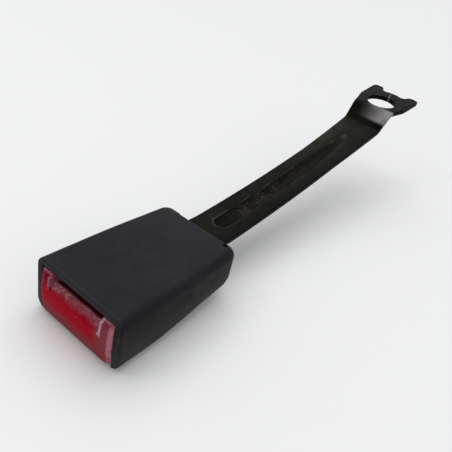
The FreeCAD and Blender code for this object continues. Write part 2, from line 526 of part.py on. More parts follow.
def build_strap():
    """The steel strap with its pressed rib, its gooseneck and its forked anchor plate."""
    body = new_body("StrapBody")
    lane = sketch_on(body, "XZ_Plane", "RibPath")
    draw_outline(lane, [
        (RIB_ENTRY_X, RIB_ENTRY_Z),
        ("rib_start", RIB_START_Z, "rib_entry_radius"),
        (RIB_CORNER_X, RIB_CORNER_Z, "rib_arc_radius"),
        (RIB_CORNER_X + " + " + RIB_RUN + " * cos(tail_slope + rib_turn)",
         RIB_CORNER_Z + " + " + RIB_RUN + " * sin(tail_slope + rib_turn)"),
    ], closed=False)
    bulge = sketch_on(body, "YZ_Plane", "RibBulgeSection")
    tilt_sketch(bulge, ("0", RIB_ENTRY_Z, RIB_ENTRY_X), FreeCAD.Vector(1, 0, 0), "rib_entry_slope")
    draw_outline(bulge, [
        ("-" + RIB_SEAM_HALF, "-" + RIB_SEAM),
        ("0", "-(rib_radius + rib_wall) / cos(rib_side_slope)", "rib_radius + rib_wall"),
        (RIB_SEAM_HALF, "-" + RIB_SEAM),
    ])
    add_pipe(body, "AdditivePipe", "RibBulge", bulge, lane)
    above = sketch_on(body, "XZ_Plane", "RibTrimSide")
    draw_outline(above, [
        ("tail_start", STRAP_MIDDLE),
        ("tail_bend_depth", STRAP_MIDDLE),
        ("rib_start + rib_trim", STRAP_MIDDLE + " + (rib_gap + rib_trim) * tan(tail_slope)"),
        ("rib_start + rib_trim", STRAP_MIDDLE + " + 2 * strap_width"),
        ("tail_start", STRAP_MIDDLE + " + 2 * strap_width"),
    ])
    extrude(body, "Pocket", "RibTrim", above, "strap_width", symmetric=True)

    path = sketch_on(body, "XZ_Plane", "StrapCentreLine")
    draw_outline(path, [
        ("tail_start", STRAP_MIDDLE),
        ("tail_bend_depth", STRAP_MIDDLE, "tail_bend_radius"),
        (ARC_CORNER_X, ARC_CORNER_Z, "arc_radius"),
        (NECK_FOOT_X, NECK_FOOT_Z, "neck_bend_radius"),
        (NECK_HEAD_X, NECK_HEAD_Z, "neck_bend_radius"),
        (BLANK_END_X, BLANK_END_Z),
    ], closed=False)
    section = sketch_on(body, "YZ_Plane", "StrapSection", "tail_start")
    half = "(horn_half_span + strap_thick)"
    draw_outline(section, box_corners("-" + half, half, STRAP_MIDDLE + " - strap_thick / 2",
                                      STRAP_MIDDLE + " + strap_thick / 2"))
    add_pipe(body, "AdditivePipe", "StrapBlank", section, path)

    plan = sketch_on(body, "XY_Plane", "StrapPlan")
    draw_outline(plan, box_corners("tail_start - plate_half_width", BLANK_END_X + " + plate_half_width",
                                   "-2 * horn_half_span", "2 * horn_half_span"))
    draw_outline(plan, both_sides([
        ("tail_start - strap_thick", "strap_width / 2"),
        (HOLE_X + " - widening_start", "strap_width / 2", "widening_round"),
        (HOLE_X + " - neck_foot", "neck_half_width", "neck_foot_round"),
        (HOLE_X + " - neck_head", "head_half_width", "flare_round"),
        (HOLE_X + " + flare_end", "plate_half_width", "flare_round"),
        (HOLE_X + " + horn_length", "horn_half_span", "horn_round"),
        (HOLE_X + " + horn_length", "horn_half_span - horn_width", "horn_round"),
        (HOLE_X + " + dip_depth", "dip_half_span", "horn_round"),
        (HOLE_X + " + crest_depth", "crest_half_span", "crest_half_span"),
    ]))
    extrude(body, "Pocket", "StrapOutline", plan, symmetric=True)

    hole = sketch_on(body, "XY_Plane", "AnchorHoleSketch")
    tilt_sketch(hole, (HOLE_X, "0", HOLE_Z), FreeCAD.Vector(0, -1, 0), "plate_tilt")
    draw_circle(hole, "0", "0", "hole_radius")
    extrude(body, "Pocket", "AnchorHole", hole, "4 * strap_thick", symmetric=True)

    rivet_holes = sketch_on(body, "XY_Plane", "StrapRivetHoles", BASE_TOP)
    for side in ("rivet_side", "-rivet_side"):
        draw_circle(rivet_holes, "rivet_depth", side, "rivet_radius")
    extrude(body, "Pocket", "StrapRivetHolePocket", rivet_holes, "2 * strap_thick", backwards=True)

    groove = sketch_on(body, "YZ_Plane", "RibGrooveSection")
    tilt_sketch(groove, ("0", RIB_ENTRY_Z, RIB_ENTRY_X), FreeCAD.Vector(1, 0, 0), "rib_entry_slope")
    half = "(rib_radius * (1 + 1 / cos(groove_side_slope)) / tan(groove_side_slope))"
    draw_outline(groove, [
        ("-" + half, "rib_radius"),
        ("0", "-rib_radius / cos(groove_side_slope)", "rib_radius"),
        (half, "rib_radius"),
    ])
    add_pipe(body, "SubtractivePipe", "RibGroove", groove, lane)
    hand_over(body, "anchor_strap")
    return body


COVER_SIDE = ("front_half_width", "middle_half_width", "rear_half_width")
OPENING_HALF = "(button_half_width + button_gap)"
FRAME_REAR = "(cover_length - rear_wall - base_gap)"
CAVITY_END = "(cover_length - rear_wall)"
GUIDE_REAR = "(tail_start - guide_strap_gap)"
BAR_BORE = "(bar_radius + pin_fit)"
EJECTOR_START = "(nose_rear + ejector_front_gap)"
WING_START = "(" + EJECTOR_START + " + wing_inset)"
ARM_OUTER = "(frame_half_width - frame_wall - side_gap)"
SLIDER_FRONT = "(button_block + seat_gap)"

# The cams' lower faces: a slope that turns the latch in step with the button's travel.
CAM_SLOPE = "((pivot_depth - lug_depth) * latch_angle * pi / 180 / button_travel)"
CAM_LEVEL = "(-lug_drop + (lug_radius + cam_gap) * sqrt(1 + " + CAM_SLOPE + "^2))"
CAM_REAR_LOW = "(" + LATCH_TOP + " - cam_end_height)"
CAM_REAR = "(lug_depth + (" + CAM_REAR_LOW + " - " + CAM_LEVEL + ") / " + CAM_SLOPE + ")"
CAM_FRONT_LOW = "(" + CAM_LEVEL + " - (lug_depth - cam_front) * " + CAM_SLOPE + ")"


def cover_outline(start, end, inset, corner):
    """The covers' outline seen from above, drawn inwards by an inset, between two depths."""
    return both_sides([
        (start, COVER_SIDE[0] + " - " + inset),
        ("cover_length / 2", COVER_SIDE[1] + " - " + inset, "side_curve_radius"),
        (end, COVER_SIDE[2] + " - " + inset, corner),
    ])


def underside(end, inset):
    """Corners of the covers' underside in side view, from the rear end to the front."""
    return [
        (end, "-(cover_height - heel_rise_height) + " + inset, "heel_round - " + inset),
        ("belly_rise_depth", "-(cover_height - belly_rise_height) + " + inset, "belly_round"),
        ("belly_end_depth", "-cover_height + " + inset, "belly_round"),
    ]


def cut_to_plan(body, outline):
    """Trims a block to an outline seen from above."""
    plan = sketch_on(body, "XY_Plane", body.Name + "Plan")
    draw_outline(plan, box_corners("-cover_length", "2 * cover_length",
                                   "-2 * front_half_width", "2 * front_half_width"))
    draw_outline(plan, outline)
    extrude(body, "Pocket", body.Name + "Outline", plan, symmetric=True)


def build_upper_cover():
    """The upper cover: a flat-topped shell with the recess and the exit for the strap."""
    body = new_body("UpperCoverBody")
    side = sketch_on(body, "XZ_Plane", "UpperCoverSide")
    draw_outline(side, [
        ("0", "0"),
        ("cover_length", "0"),
        ("cover_length", "-parting_rear"),
        ("parting_flat_depth", "-parting_front"),
        ("0", "-parting_front"),
    ])
    extrude(body, "Pad", "UpperCoverBlock", side, "4 * front_half_width", symmetric=True)
    cut_to_plan(body, cover_outline("-rim_depth", "cover_length", "0", "rear_corner_round"))
    dress_edges(body, "Fillet", "UpperCoverRound", "edge_round",
                lambda middle, edge: near(middle.z, "0") and not near(middle.x, "0"))
    dress_edges(body, "Fillet", "UpperCoverRim", "rim_round",
                lambda middle, edge: near(middle.x, "0") and not near(middle.z, "-parting_front"))

    inside = sketch_on(body, "XY_Plane", "UpperCoverInside", "-cover_wall")
    draw_outline(inside, cover_outline("rim_depth", CAVITY_END, "cover_wall",
                                       "rear_corner_round - cover_wall"))
    extrude(body, "Pocket", "UpperCoverCavity", inside, "cover_height")
    opening = sketch_on(body, "XY_Plane", "UpperCoverFront", "-cover_wall")
    draw_outline(opening, box_corners("-rim_depth", "2 * rim_depth", "-" + OPENING_HALF, OPENING_HALF))
    extrude(body, "Pocket", "UpperCoverOpening", opening, "cover_height")
    recess = sketch_on(body, "XY_Plane", "UpperCoverRecessPlan")
    draw_outline(recess, both_sides([
        ("2 * cover_length", "recess_half_width"),
        ("cover_length - recess_depth", "recess_half_width", "recess_round"),
    ]))
    extrude(body, "Pocket", "UpperCoverRecess", recess, "cover_height")
    way_out = sketch_on(body, "YZ_Plane", "UpperCoverExitSketch", CAVITY_END + " - rim_depth")
    half = "(strap_width / 2 + tail_room)"
    draw_outline(way_out, box_corners("-" + half, half, "-cover_height",
                                      STRAP_MIDDLE + " + strap_thick / 2 + tail_room"))
    extrude(body, "Pocket", "UpperCoverExit", way_out, "3 * rear_wall", backwards=True)
    tool_hole = sketch_on(body, "XY_Plane", "UpperCoverToolHolePlan")
    draw_circle(tool_hole, "cover_length - tool_hole_inset", "-tool_hole_side", "tool_hole_radius")
    extrude(body, "Pocket", "UpperCoverToolHole", tool_hole, "tool_hole_sink")

    ribs = sketch_on(body, "XY_Plane", "UpperCoverRibPlan", "-cover_wall")
    for start in ("front_rib_depth", "rear_rib_depth"):
        draw_outline(ribs, box_corners(start, start + " + inner_rib_width",
                                       "slot_half_width", "slot_half_width + guide_rail"))
    pad = extrude(body, "Pad", "UpperCoverRibs", ribs, "guide_top_gap - seat_gap", backwards=True)
    mirror_across(body, pad, "UpperCoverRibPair")
    for name, start in (("Front", "hook_depth"), ("Rear", "rear_hook_depth")):
        add_hook(body, name, start)
    hand_over(body, "upper_cover")
    return body


def parting_at(depth):
    """The height of the parting line at a depth behind its level stretch."""
    share = "(" + depth + " - parting_flat_depth) / (cover_length - parting_flat_depth)"
    return "(-parting_front + (parting_front - parting_rear) * " + share + ")"


def inner_wall_at(depth):
    """The distance of the side walls' inner faces from the middle, in the rear half."""
    share = "(2 * (" + depth + ") - cover_length) / (2 * " + CAVITY_END + " - cover_length)"
    return "(middle_half_width - (middle_half_width - rear_half_width) * " + share + " - cover_wall)"


def add_hook(body, name, start):
    """A pair of snap hooks that reach down inside the lower cover."""
    wall = inner_wall_at(start + " + hook_width")
    inner = "(" + wall + " - hook_gap - hook_thick)"
    outer = "(" + wall + " - hook_gap)"
    foot = "(" + parting_at(start) + " - hook_reach)"
    root = "(" + parting_at(start + " + hook_width") + " + hook_nib)"
    outline = sketch_on(body, "YZ_Plane", name + "HookOutline", start)
    draw_outline(outline, [
        (inner, foot),
        (outer + " - hook_nib", foot),
        (outer + " + hook_nib", foot + " + 2 * hook_nib"),
        (outer, foot + " + 2 * hook_nib"),
        (outer, root),
        (wall + " + cover_wall / 2", root),
        (wall + " + cover_wall / 2", root + " + 3 * hook_nib"),
        (inner, root + " + 3 * hook_nib"),
    ])
    pad = extrude(body, "Pad", name + "Hook", outline, "hook_width")
    mirror_across(body, pad, name + "HookPair")


def build_lower_cover():
    """The lower cover: a tub with a rounded heel, inner ribs and posts for the springs."""
    block = new_body("LowerCoverBlock")
    side = sketch_on(block, "XZ_Plane", "LowerCoverSide")
    draw_outline(side, [
        ("0", "-cover_height"),
        ("0", "-parting_front"),
        ("parting_flat_depth", "-parting_front"),
        ("cover_length", "-parting_rear"),
    ] + underside("cover_length", "0"))
    extrude(block, "Pad", "LowerCoverSolid", side, "4 * front_half_width", symmetric=True)
    cut_to_plan(block, cover_outline("-rim_depth", "cover_length", "0", "rear_corner_round"))
    dress_edges(block, "Fillet", "LowerCoverRound", "belly_edge_round", is_belly_edge)
    dress_edges(block, "Fillet", "LowerCoverRim", "rim_round",
                lambda middle, edge: near(middle.x, "0") and not near(middle.z, "-parting_front"))

    cavity = new_body("LowerCoverCavity")
    inner = sketch_on(cavity, "XZ_Plane", "LowerCavitySide")
    draw_outline(inner, [
        ("rim_depth", "-cover_height + cover_wall"),
        ("rim_depth", "cover_wall"),
        (CAVITY_END, "cover_wall"),
    ] + underside(CAVITY_END, "cover_wall"))
    extrude(cavity, "Pad", "LowerCavitySolid", inner, "4 * front_half_width", symmetric=True)
    cut_to_plan(cavity, cover_outline("-rim_depth", CAVITY_END, "cover_wall",
                                      "rear_corner_round - cover_wall"))
    notch = sketch_on(cavity, "XY_Plane", "LowerCoverNotch", "cover_wall")
    notch_end = "(button_lip + button_travel + notch_room)"
    draw_outline(notch, box_corners("-rim_depth", notch_end, "-" + OPENING_HALF, OPENING_HALF))
    extrude(cavity, "Pad", "LowerCoverMouth", notch, "2 * cover_height", backwards=True)
    way_out = sketch_on(cavity, "YZ_Plane", "LowerCoverExit", CAVITY_END + " - rim_depth")
    half = "(strap_width / 2 + tail_room)"
    draw_outline(way_out, box_corners("-" + half, half, BASE_TOP + " - tail_room", "cover_wall"))
    extrude(cavity, "Pad", "LowerCoverExitSpace", way_out, "3 * rear_wall")
    for name, start in (("Front", "hook_depth"), ("Rear", "rear_hook_depth")):
        catch = sketch_on(cavity, "XZ_Plane", name + "CatchSide")
        low = "(" + parting_at(start) + " - hook_reach - hook_gap)"
        draw_outline(catch, box_corners(start + " - hook_gap", start + " + hook_width + hook_gap",
                                        low, low + " + 2 * hook_nib + 2 * hook_gap"))
        reach = "2 * (" + inner_wall_at(start + " + hook_width") + " + hook_nib + hook_gap)"
        extrude(cavity, "Pad", name + "Catch", catch, reach, symmetric=True)

    hollow = doc.addObject("Part::Cut", "LowerCoverHollow")
    hollow.Base = cavity
    hollow.Tool = build_lower_cover_inside()
    cover = doc.addObject("Part::Cut", "LowerCoverShell")
    cover.Base = block
    cover.Tool = hollow
    doc.recompute()
    hand_over(cover, "lower_cover")
    return cover


def is_belly_edge(middle, edge):
    """Whether an edge of the lower cover's block runs along one side of its underside."""
    beside = abs(middle.y) > size("rear_half_width - cover_wall")
    below = middle.z < size("-(parting_front + cover_wall)")
    behind = not near(middle.x, "0")
    return beside and below and behind and edge.Length > size("rear_corner_round")


def build_lower_cover_inside():
    """Seats for the frame, posts for the button's springs and the latch spring's seat."""
    body = new_body("LowerCoverInside")
    low = "-cover_height"
    seats = sketch_on(body, "XY_Plane", "FrameSeatPlan", low)
    for start in ("front_rib_depth", "rear_rib_depth"):
        draw_outline(seats, box_corners(start, start + " + 2 * inner_rib_width",
                                        "frame_half_width - frame_wall", "frame_half_width"))
    seat_top = "(cover_height - frame_wall_bottom - pad_thick - 2 * seat_gap)"
    pad = extrude(body, "Pad", "FrameSeats", seats, seat_top)
    mirror_across(body, pad, "FrameSeatPairs")

    posts = sketch_on(body, "XY_Plane", "SpringPostPlan", low)
    draw_outline(posts, box_corners("post_depth", "post_depth + post_thick",
                                    "button_spring_side - button_spring_radius", "front_half_width"))
    post_top = "(cover_height - button_spring_drop + button_spring_radius + side_gap)"
    pad = extrude(body, "Pad", "SpringPosts", posts, post_top)
    mirror_across(body, pad, "SpringPostPair")
    pegs = sketch_on(body, "YZ_Plane", "SpringPegSketch", "post_depth")
    draw_circle(pegs, "button_spring_side", "-button_spring_drop", "peg_radius")
    pad = extrude(body, "Pad", "SpringPegs", pegs, "peg_length", backwards=True)
    mirror_across(body, pad, "SpringPegPair")

    seat = sketch_on(body, "XY_Plane", "LatchSeatPlan", low)
    draw_circle(seat, "latch_spring_depth", "0", "latch_spring_radius + side_gap")
    extrude(body, "Pad", "LatchSeat", seat, "cover_height - latch_seat_drop")
    stud = sketch_on(body, "XY_Plane", "LatchStudPlan", "-latch_seat_drop")
    draw_circle(stud, "latch_spring_depth", "0", "latch_spring_radius - latch_spring_wire - spring_room")
    extrude(body, "Pad", "LatchStud", stud, "latch_stud_height")
    return body


def build_frame():
    """The steel frame: a base plate with two side walls turned down."""
    body = new_body("FrameBody")
    base = sketch_on(body, "XZ_Plane", "FrameBaseSide")
    draw_outline(base, [
        ("base_front", BASE_BOTTOM),
        (FRAME_REAR, BASE_BOTTOM),
        (FRAME_REAR, BASE_TOP),
        ("base_front + base_thick / 2", BASE_TOP),
        ("base_front", BASE_TOP + " - base_thick / 2"),
    ])
    extrude(body, "Pad", "FrameBase", base, "2 * frame_half_width", symmetric=True)
    walls = sketch_on(body, "XZ_Plane", "FrameWallSide")
    draw_outline(walls, [
        ("frame_wall_front", BASE_BOTTOM),
        ("frame_wall_front", "-frame_wall_bottom", "frame_wall_round"),
        ("frame_wall_rear - frame_wall_taper", "-frame_wall_bottom", "frame_wall_round"),
        ("frame_wall_rear", "-pivot_drop", "frame_wall_round"),
        ("frame_wall_rear", BASE_BOTTOM),
    ])
    extrude(body, "Pad", "FrameWalls", walls, "2 * frame_half_width", symmetric=True)
    between = sketch_on(body, "XZ_Plane", "FrameBetweenWalls")
    draw_outline(between, box_corners("0", "cover_length", "-cover_height", BASE_BOTTOM))
    extrude(body, "Pocket", "FrameHollow", between, "2 * (frame_half_width - frame_wall)", symmetric=True)
    dress_edges(body, "Fillet", "FrameBend", "frame_bend_radius",
                lambda middle, edge: near(middle.z, BASE_TOP) and near(abs(middle.y), "frame_half_width"))

    window = sketch_on(body, "XY_Plane", "FrameWindowPlan", BASE_TOP)
    half = "(nose_half_width + window_gap)"
    draw_outline(window, box_corners("nose_front - window_front_gap", "nose_rear + window_gap",
                                     "-" + half, half, "window_gap"))
    for side in ("rivet_side", "-rivet_side"):
        draw_circle(window, "rivet_depth", side, "rivet_radius")
    extrude(body, "Pocket", "FrameWindow", window, "4 * base_thick", symmetric=True)
    bores = sketch_on(body, "XZ_Plane", "FramePinBores")
    draw_circle(bores, "pivot_depth", "-pivot_drop", "pin_radius + pin_fit")
    draw_outline(bores, box_corners("bar_depth - " + BAR_BORE, "bar_depth + button_travel + " + BAR_BORE,
                                    BAR_HEIGHT + " - " + BAR_BORE, BAR_HEIGHT + " + " + BAR_BORE,
                                    "bar_radius + pin_fit / 2"))
    extrude(body, "Pocket", "FramePinHoles", bores, "4 * frame_half_width", symmetric=True)
    hand_over(body, "frame")
    return body


def build_rivets():
    """Two rivets that hold the strap on the base plate."""
    body = new_body("RivetBody")
    top = "(" + BASE_TOP + " + strap_thick)"
    runs = (("RivetShank", BASE_BOTTOM, "base_thick + strap_thick", "rivet_radius", False),
            ("RivetUpperHead", top, "rivet_head_height", "rivet_head_radius", False),
            ("RivetLowerHead", BASE_BOTTOM, "rivet_head_height", "rivet_head_radius", True))
    for name, level, length, radius, downwards in runs:
        circles = sketch_on(body, "XY_Plane", name + "Sketch", level)
        for side in ("rivet_side", "-rivet_side"):
            draw_circle(circles, "rivet_depth", side, radius)
        extrude(body, "Pad", name, circles, length, backwards=downwards)
    ends = (BASE_BOTTOM + " - rivet_head_height", top + " + rivet_head_height")
    dress_edges(body, "Fillet", "RivetDomes", "rivet_head_height / 2",
                lambda middle, edge: near(middle.z, ends[0]) or near(middle.z, ends[1]))
    hand_over(body, "frame_rivets")
    return body


def build_guide():
    """The tongue guide: two grooved rails on the base plate, joined behind the ejector."""
    body = new_body("GuideBody")
    plan = sketch_on(body, "XY_Plane", "GuidePlan", BASE_TOP + " + seat_gap")
    outer = "(slot_half_width + guide_rail)"
    draw_outline(plan, both_sides([
        (GUIDE_REAR + " - guide_wall", "slot_half_width"),
        ("frame_wall_front", "slot_half_width"),
        ("frame_wall_front", outer),
        (GUIDE_REAR, outer),
    ]))
    extrude(body, "Pad", "GuideRails", plan, "tongue_room - seat_gap - guide_top_gap")
    dress_edges(body, "Chamfer", "GuideLeadIn", "guide_lead_in",
                lambda middle, edge: near(middle.x, "frame_wall_front")
                and near(abs(middle.y), "slot_half_width"))
    grooves = sketch_on(body, "XZ_Plane", "GuideGrooveSide")
    draw_outline(grooves, box_corners(WING_START + " - side_gap",
                                      WING_START + " + wing_length + ejector_travel + side_gap",
                                      EJECTOR_AXIS + " - wing_height / 2 - side_gap",
                                      EJECTOR_AXIS + " + wing_height / 2 + side_gap"))
    extrude(body, "Pocket", "GuideGrooves", grooves,
            "2 * (slot_half_width - side_gap + wing_reach + side_gap)", symmetric=True)
    peg = sketch_on(body, "YZ_Plane", "GuidePegSketch", GUIDE_REAR + " - guide_wall")
    draw_circle(peg, "0", EJECTOR_AXIS, "peg_radius")
    extrude(body, "Pad", "GuidePeg", peg, "peg_length", backwards=True)
    hand_over(body, "tongue_guide")
    return body


def build_ejector():
    """The sliding ejector with two wings and a bore for its spring."""
    body = new_body("EjectorBody")
    bottom = "(" + BASE_TOP + " + glide_gap)"
    block = sketch_on(body, "XY_Plane", "EjectorPlan", bottom)
    half = "(slot_half_width - side_gap)"
    draw_outline(block, box_corners(EJECTOR_START, EJECTOR_START + " + ejector_length",
                                    "-" + half, half, "side_gap"))
    extrude(body, "Pad", "EjectorBlock", block, "-ejector_top - " + bottom)
    wings = sketch_on(body, "XZ_Plane", "EjectorWingSide")
    draw_outline(wings, box_corners(WING_START, WING_START + " + wing_length",
                                    EJECTOR_AXIS + " - wing_height / 2",
                                    EJECTOR_AXIS + " + wing_height / 2"))
    extrude(body, "Pad", "EjectorWings", wings, "2 * (" + half + " + wing_reach)", symmetric=True)
    bore = sketch_on(body, "YZ_Plane", "EjectorBoreSketch", EJECTOR_START + " + ejector_length")
    draw_circle(bore, "0", EJECTOR_AXIS, "ejector_spring_radius + spring_room")
    extrude(body, "Pocket", "EjectorBore", bore, "ejector_bore_sink")
    hand_over(body, "ejector")
    return body


def build_latch():
    """The latch: a plate on a pivot, with a nose through the base plate and two side lugs."""
    body = new_body("LatchBody")
    plate = sketch_on(body, "XZ_Plane", "LatchSide")
    relief = LATCH_BOTTOM + " + relief_height"
    draw_outline(plate, [
        ("latch_front", LATCH_BOTTOM),
        ("latch_front", LATCH_TOP),
        ("pivot_depth", LATCH_TOP),
        ("pivot_depth", relief),
        ("relief_start + relief_height", relief),
        ("relief_start", LATCH_BOTTOM),
    ])
    extrude(body, "Pad", "LatchPlate", plate, "2 * latch_half_width", symmetric=True)
    boss = sketch_on(body, "XZ_Plane", "LatchBossSketch")
    draw_circle(boss, "pivot_depth", "-pivot_drop", "latch_boss_radius")
    extrude(body, "Pad", "LatchBoss", boss, "2 * latch_half_width", symmetric=True)
    nose = sketch_on(body, "XZ_Plane", "LatchNoseSide")
    draw_outline(nose, [
        ("nose_front", LATCH_TOP + " - latch_thick / 2"),
        ("nose_front", "-nose_top - (nose_ramp + side_gap)"),
        ("nose_front + nose_ramp", "-nose_top", "nose_round"),
        ("nose_rear", "-nose_top", "nose_round"),
        ("nose_rear", LATCH_TOP + " - latch_thick / 2"),
    ])
    extrude(body, "Pad", "LatchNose", nose, "2 * nose_half_width", symmetric=True)
    lugs = sketch_on(body, "XZ_Plane", "LatchLugSketch")
    draw_circle(lugs, "lug_depth", "-lug_drop", "lug_radius")
    extrude(body, "Pad", "LatchLugs", lugs, "2 * (latch_half_width + lug_length)", symmetric=True)
    bore = sketch_on(body, "XZ_Plane", "LatchBoreSketch")
    draw_circle(bore, "pivot_depth", "-pivot_drop", "pin_radius + pin_fit")
    extrude(body, "Pocket", "LatchBore", bore, "4 * latch_half_width", symmetric=True)
    hand_over(body, "latch")
    return body


def build_pin():
    """The latch's pin with a groove for a clip near each end."""
    body = new_body("PinBody")
    shank = sketch_on(body, "XZ_Plane", "PinSketch")
    draw_circle(shank, "pivot_depth", "-pivot_drop", "pin_radius")
    extrude(body, "Pad", "PinShank", shank, "2 * (frame_half_width + pin_end)", symmetric=True)
    dress_edges(body, "Chamfer", "PinEnds", "pin_groove",
                lambda middle, edge: near(abs(middle.y), "frame_half_width + pin_end"))
    groove = sketch_on(body, "XZ_Plane", "PinGrooveSketch", "-(frame_half_width + clip_side_gap / 2)")
    draw_circle(groove, "pivot_depth", "-pivot_drop", "2 * pin_radius")
    draw_circle(groove, "pivot_depth", "-pivot_drop", "pin_radius - pin_groove")
    cut = extrude(body, "Pocket", "PinGroove", groove, "clip_thick + clip_side_gap", backwards=False)
    mirror_across(body, cut, "PinGroovePair")
    hand_over(body, "latch_pin")
    return body


def build_clips():
    """Two open clips that sit in the pin's grooves."""
    body = new_body("ClipBody")
    ring = sketch_on(body, "XZ_Plane", "ClipSketch", "-(frame_half_width + clip_side_gap)")
    draw_circle(ring, "pivot_depth", "-pivot_drop", "clip_radius")
    draw_circle(ring, "pivot_depth", "-pivot_drop", "pin_radius - pin_groove + pin_fit")
    pad = extrude(body, "Pad", "Clip", ring, "clip_thick", backwards=True)
    mirror_across(body, pad, "ClipPair")
    gap = sketch_on(body, "XZ_Plane", "ClipGapSketch")
    draw_outline(gap, box_corners("pivot_depth", "pivot_depth + 2 * clip_radius",
                                  "-pivot_drop - clip_opening / 2", "-pivot_drop + clip_opening / 2"))
    extrude(body, "Pocket", "ClipGap", gap, "4 * frame_half_width", symmetric=True)
    hand_over(body, "pin_clips")
    return body


def build_bar():
    """The lock bar that crosses under the latch."""
    body = new_body("BarBody")
    shank = sketch_on(body, "XZ_Plane", "BarSketch")
    draw_circle(shank, "bar_depth", BAR_HEIGHT, "bar_radius")
    extrude(body, "Pad", "BarShank", shank, "2 * (frame_half_width + bar_overhang)", symmetric=True)
    dress_edges(body, "Chamfer", "BarEnds", "pin_groove",
                lambda middle, edge: near(abs(middle.y), "frame_half_width + bar_overhang"))
    hand_over(body, "lock_bar")
    return body


def build_slider():
    """The release slider: a front plate, two arms with cams for the lugs, and two ties."""
    body = new_body("SliderBody")
    plate = sketch_on(body, "XZ_Plane", "SliderPlateSide")
    draw_outline(plate, box_corners(SLIDER_FRONT, SLIDER_FRONT + " + slider_plate",
                                    "-slider_bottom", LATCH_TOP + " - seat_gap * 2"))
    extrude(body, "Pad", "SliderPlate", plate, "2 * " + ARM_OUTER, symmetric=True)
    arms = sketch_on(body, "XZ_Plane", "SliderArmSide")
    draw_outline(arms, box_corners(SLIDER_FRONT + " + slider_plate / 2", "bar_depth + arm_end",
                                   "-arm_bottom", "-arm_top", "arm_thick"))
    extrude(body, "Pad", "SliderArmBlock", arms, "2 * " + ARM_OUTER, symmetric=True)
    between = sketch_on(body, "XY_Plane", "SliderBetweenArms")
    inner = "(" + ARM_OUTER + " - arm_thick)"
    draw_outline(between, box_corners(SLIDER_FRONT + " + slider_plate", "2 * bar_depth", "-" + inner, inner,
                                      "arm_thick"))
    extrude(body, "Pocket", "SliderHollow", between, "2 * cover_height", symmetric=True)
    cams = sketch_on(body, "XZ_Plane", "SliderCamSide")
    draw_outline(cams, [
        ("cam_front", LATCH_TOP),
        ("cam_front", CAM_FRONT_LOW),
        (CAM_REAR, CAM_REAR_LOW),
        (CAM_REAR, LATCH_TOP),
    ])
    extrude(body, "Pad", "SliderCamBlock", cams, "2 * " + ARM_OUTER, symmetric=True)
    gap = sketch_on(body, "XZ_Plane", "SliderLatchGap")
    draw_outline(gap, box_corners(SLIDER_FRONT + " + slider_plate", "2 * bar_depth",
                                  "-cover_height", "0"))
    extrude(body, "Pocket", "SliderLatchSpace", gap, "2 * (latch_half_width + side_gap)", symmetric=True)
    strips = sketch_on(body, "XY_Plane", "SliderStripPlan", LATCH_TOP)
    draw_outline(strips, box_corners("cam_front", CAM_REAR, inner, ARM_OUTER))
    strip = extrude(body, "Pad", "SliderStrip", strips, "arm_top + seat_gap + " + LATCH_TOP, backwards=True)
    mirror_across(body, strip, "SliderStripPair")
    bores = sketch_on(body, "XZ_Plane", "SliderBarBores")
    draw_circle(bores, "bar_depth", BAR_HEIGHT, "bar_radius + pin_fit")
    extrude(body, "Pocket", "SliderBarHoles", bores, "4 * frame_half_width", symmetric=True)
    ties = sketch_on(body, "XY_Plane", "SliderTiePlan", "-tie_bottom")
    draw_outline(ties, box_corners("face_thick + spring_room", SLIDER_FRONT + " + slider_plate / 2",
                                   "tie_inner", "tie_outer"))
    pad = extrude(body, "Pad", "SliderTie", ties, "tie_bottom - tie_top")
    mirror_across(body, pad, "SliderTiePair")
    hand_over(body, "release_slider")
    return body


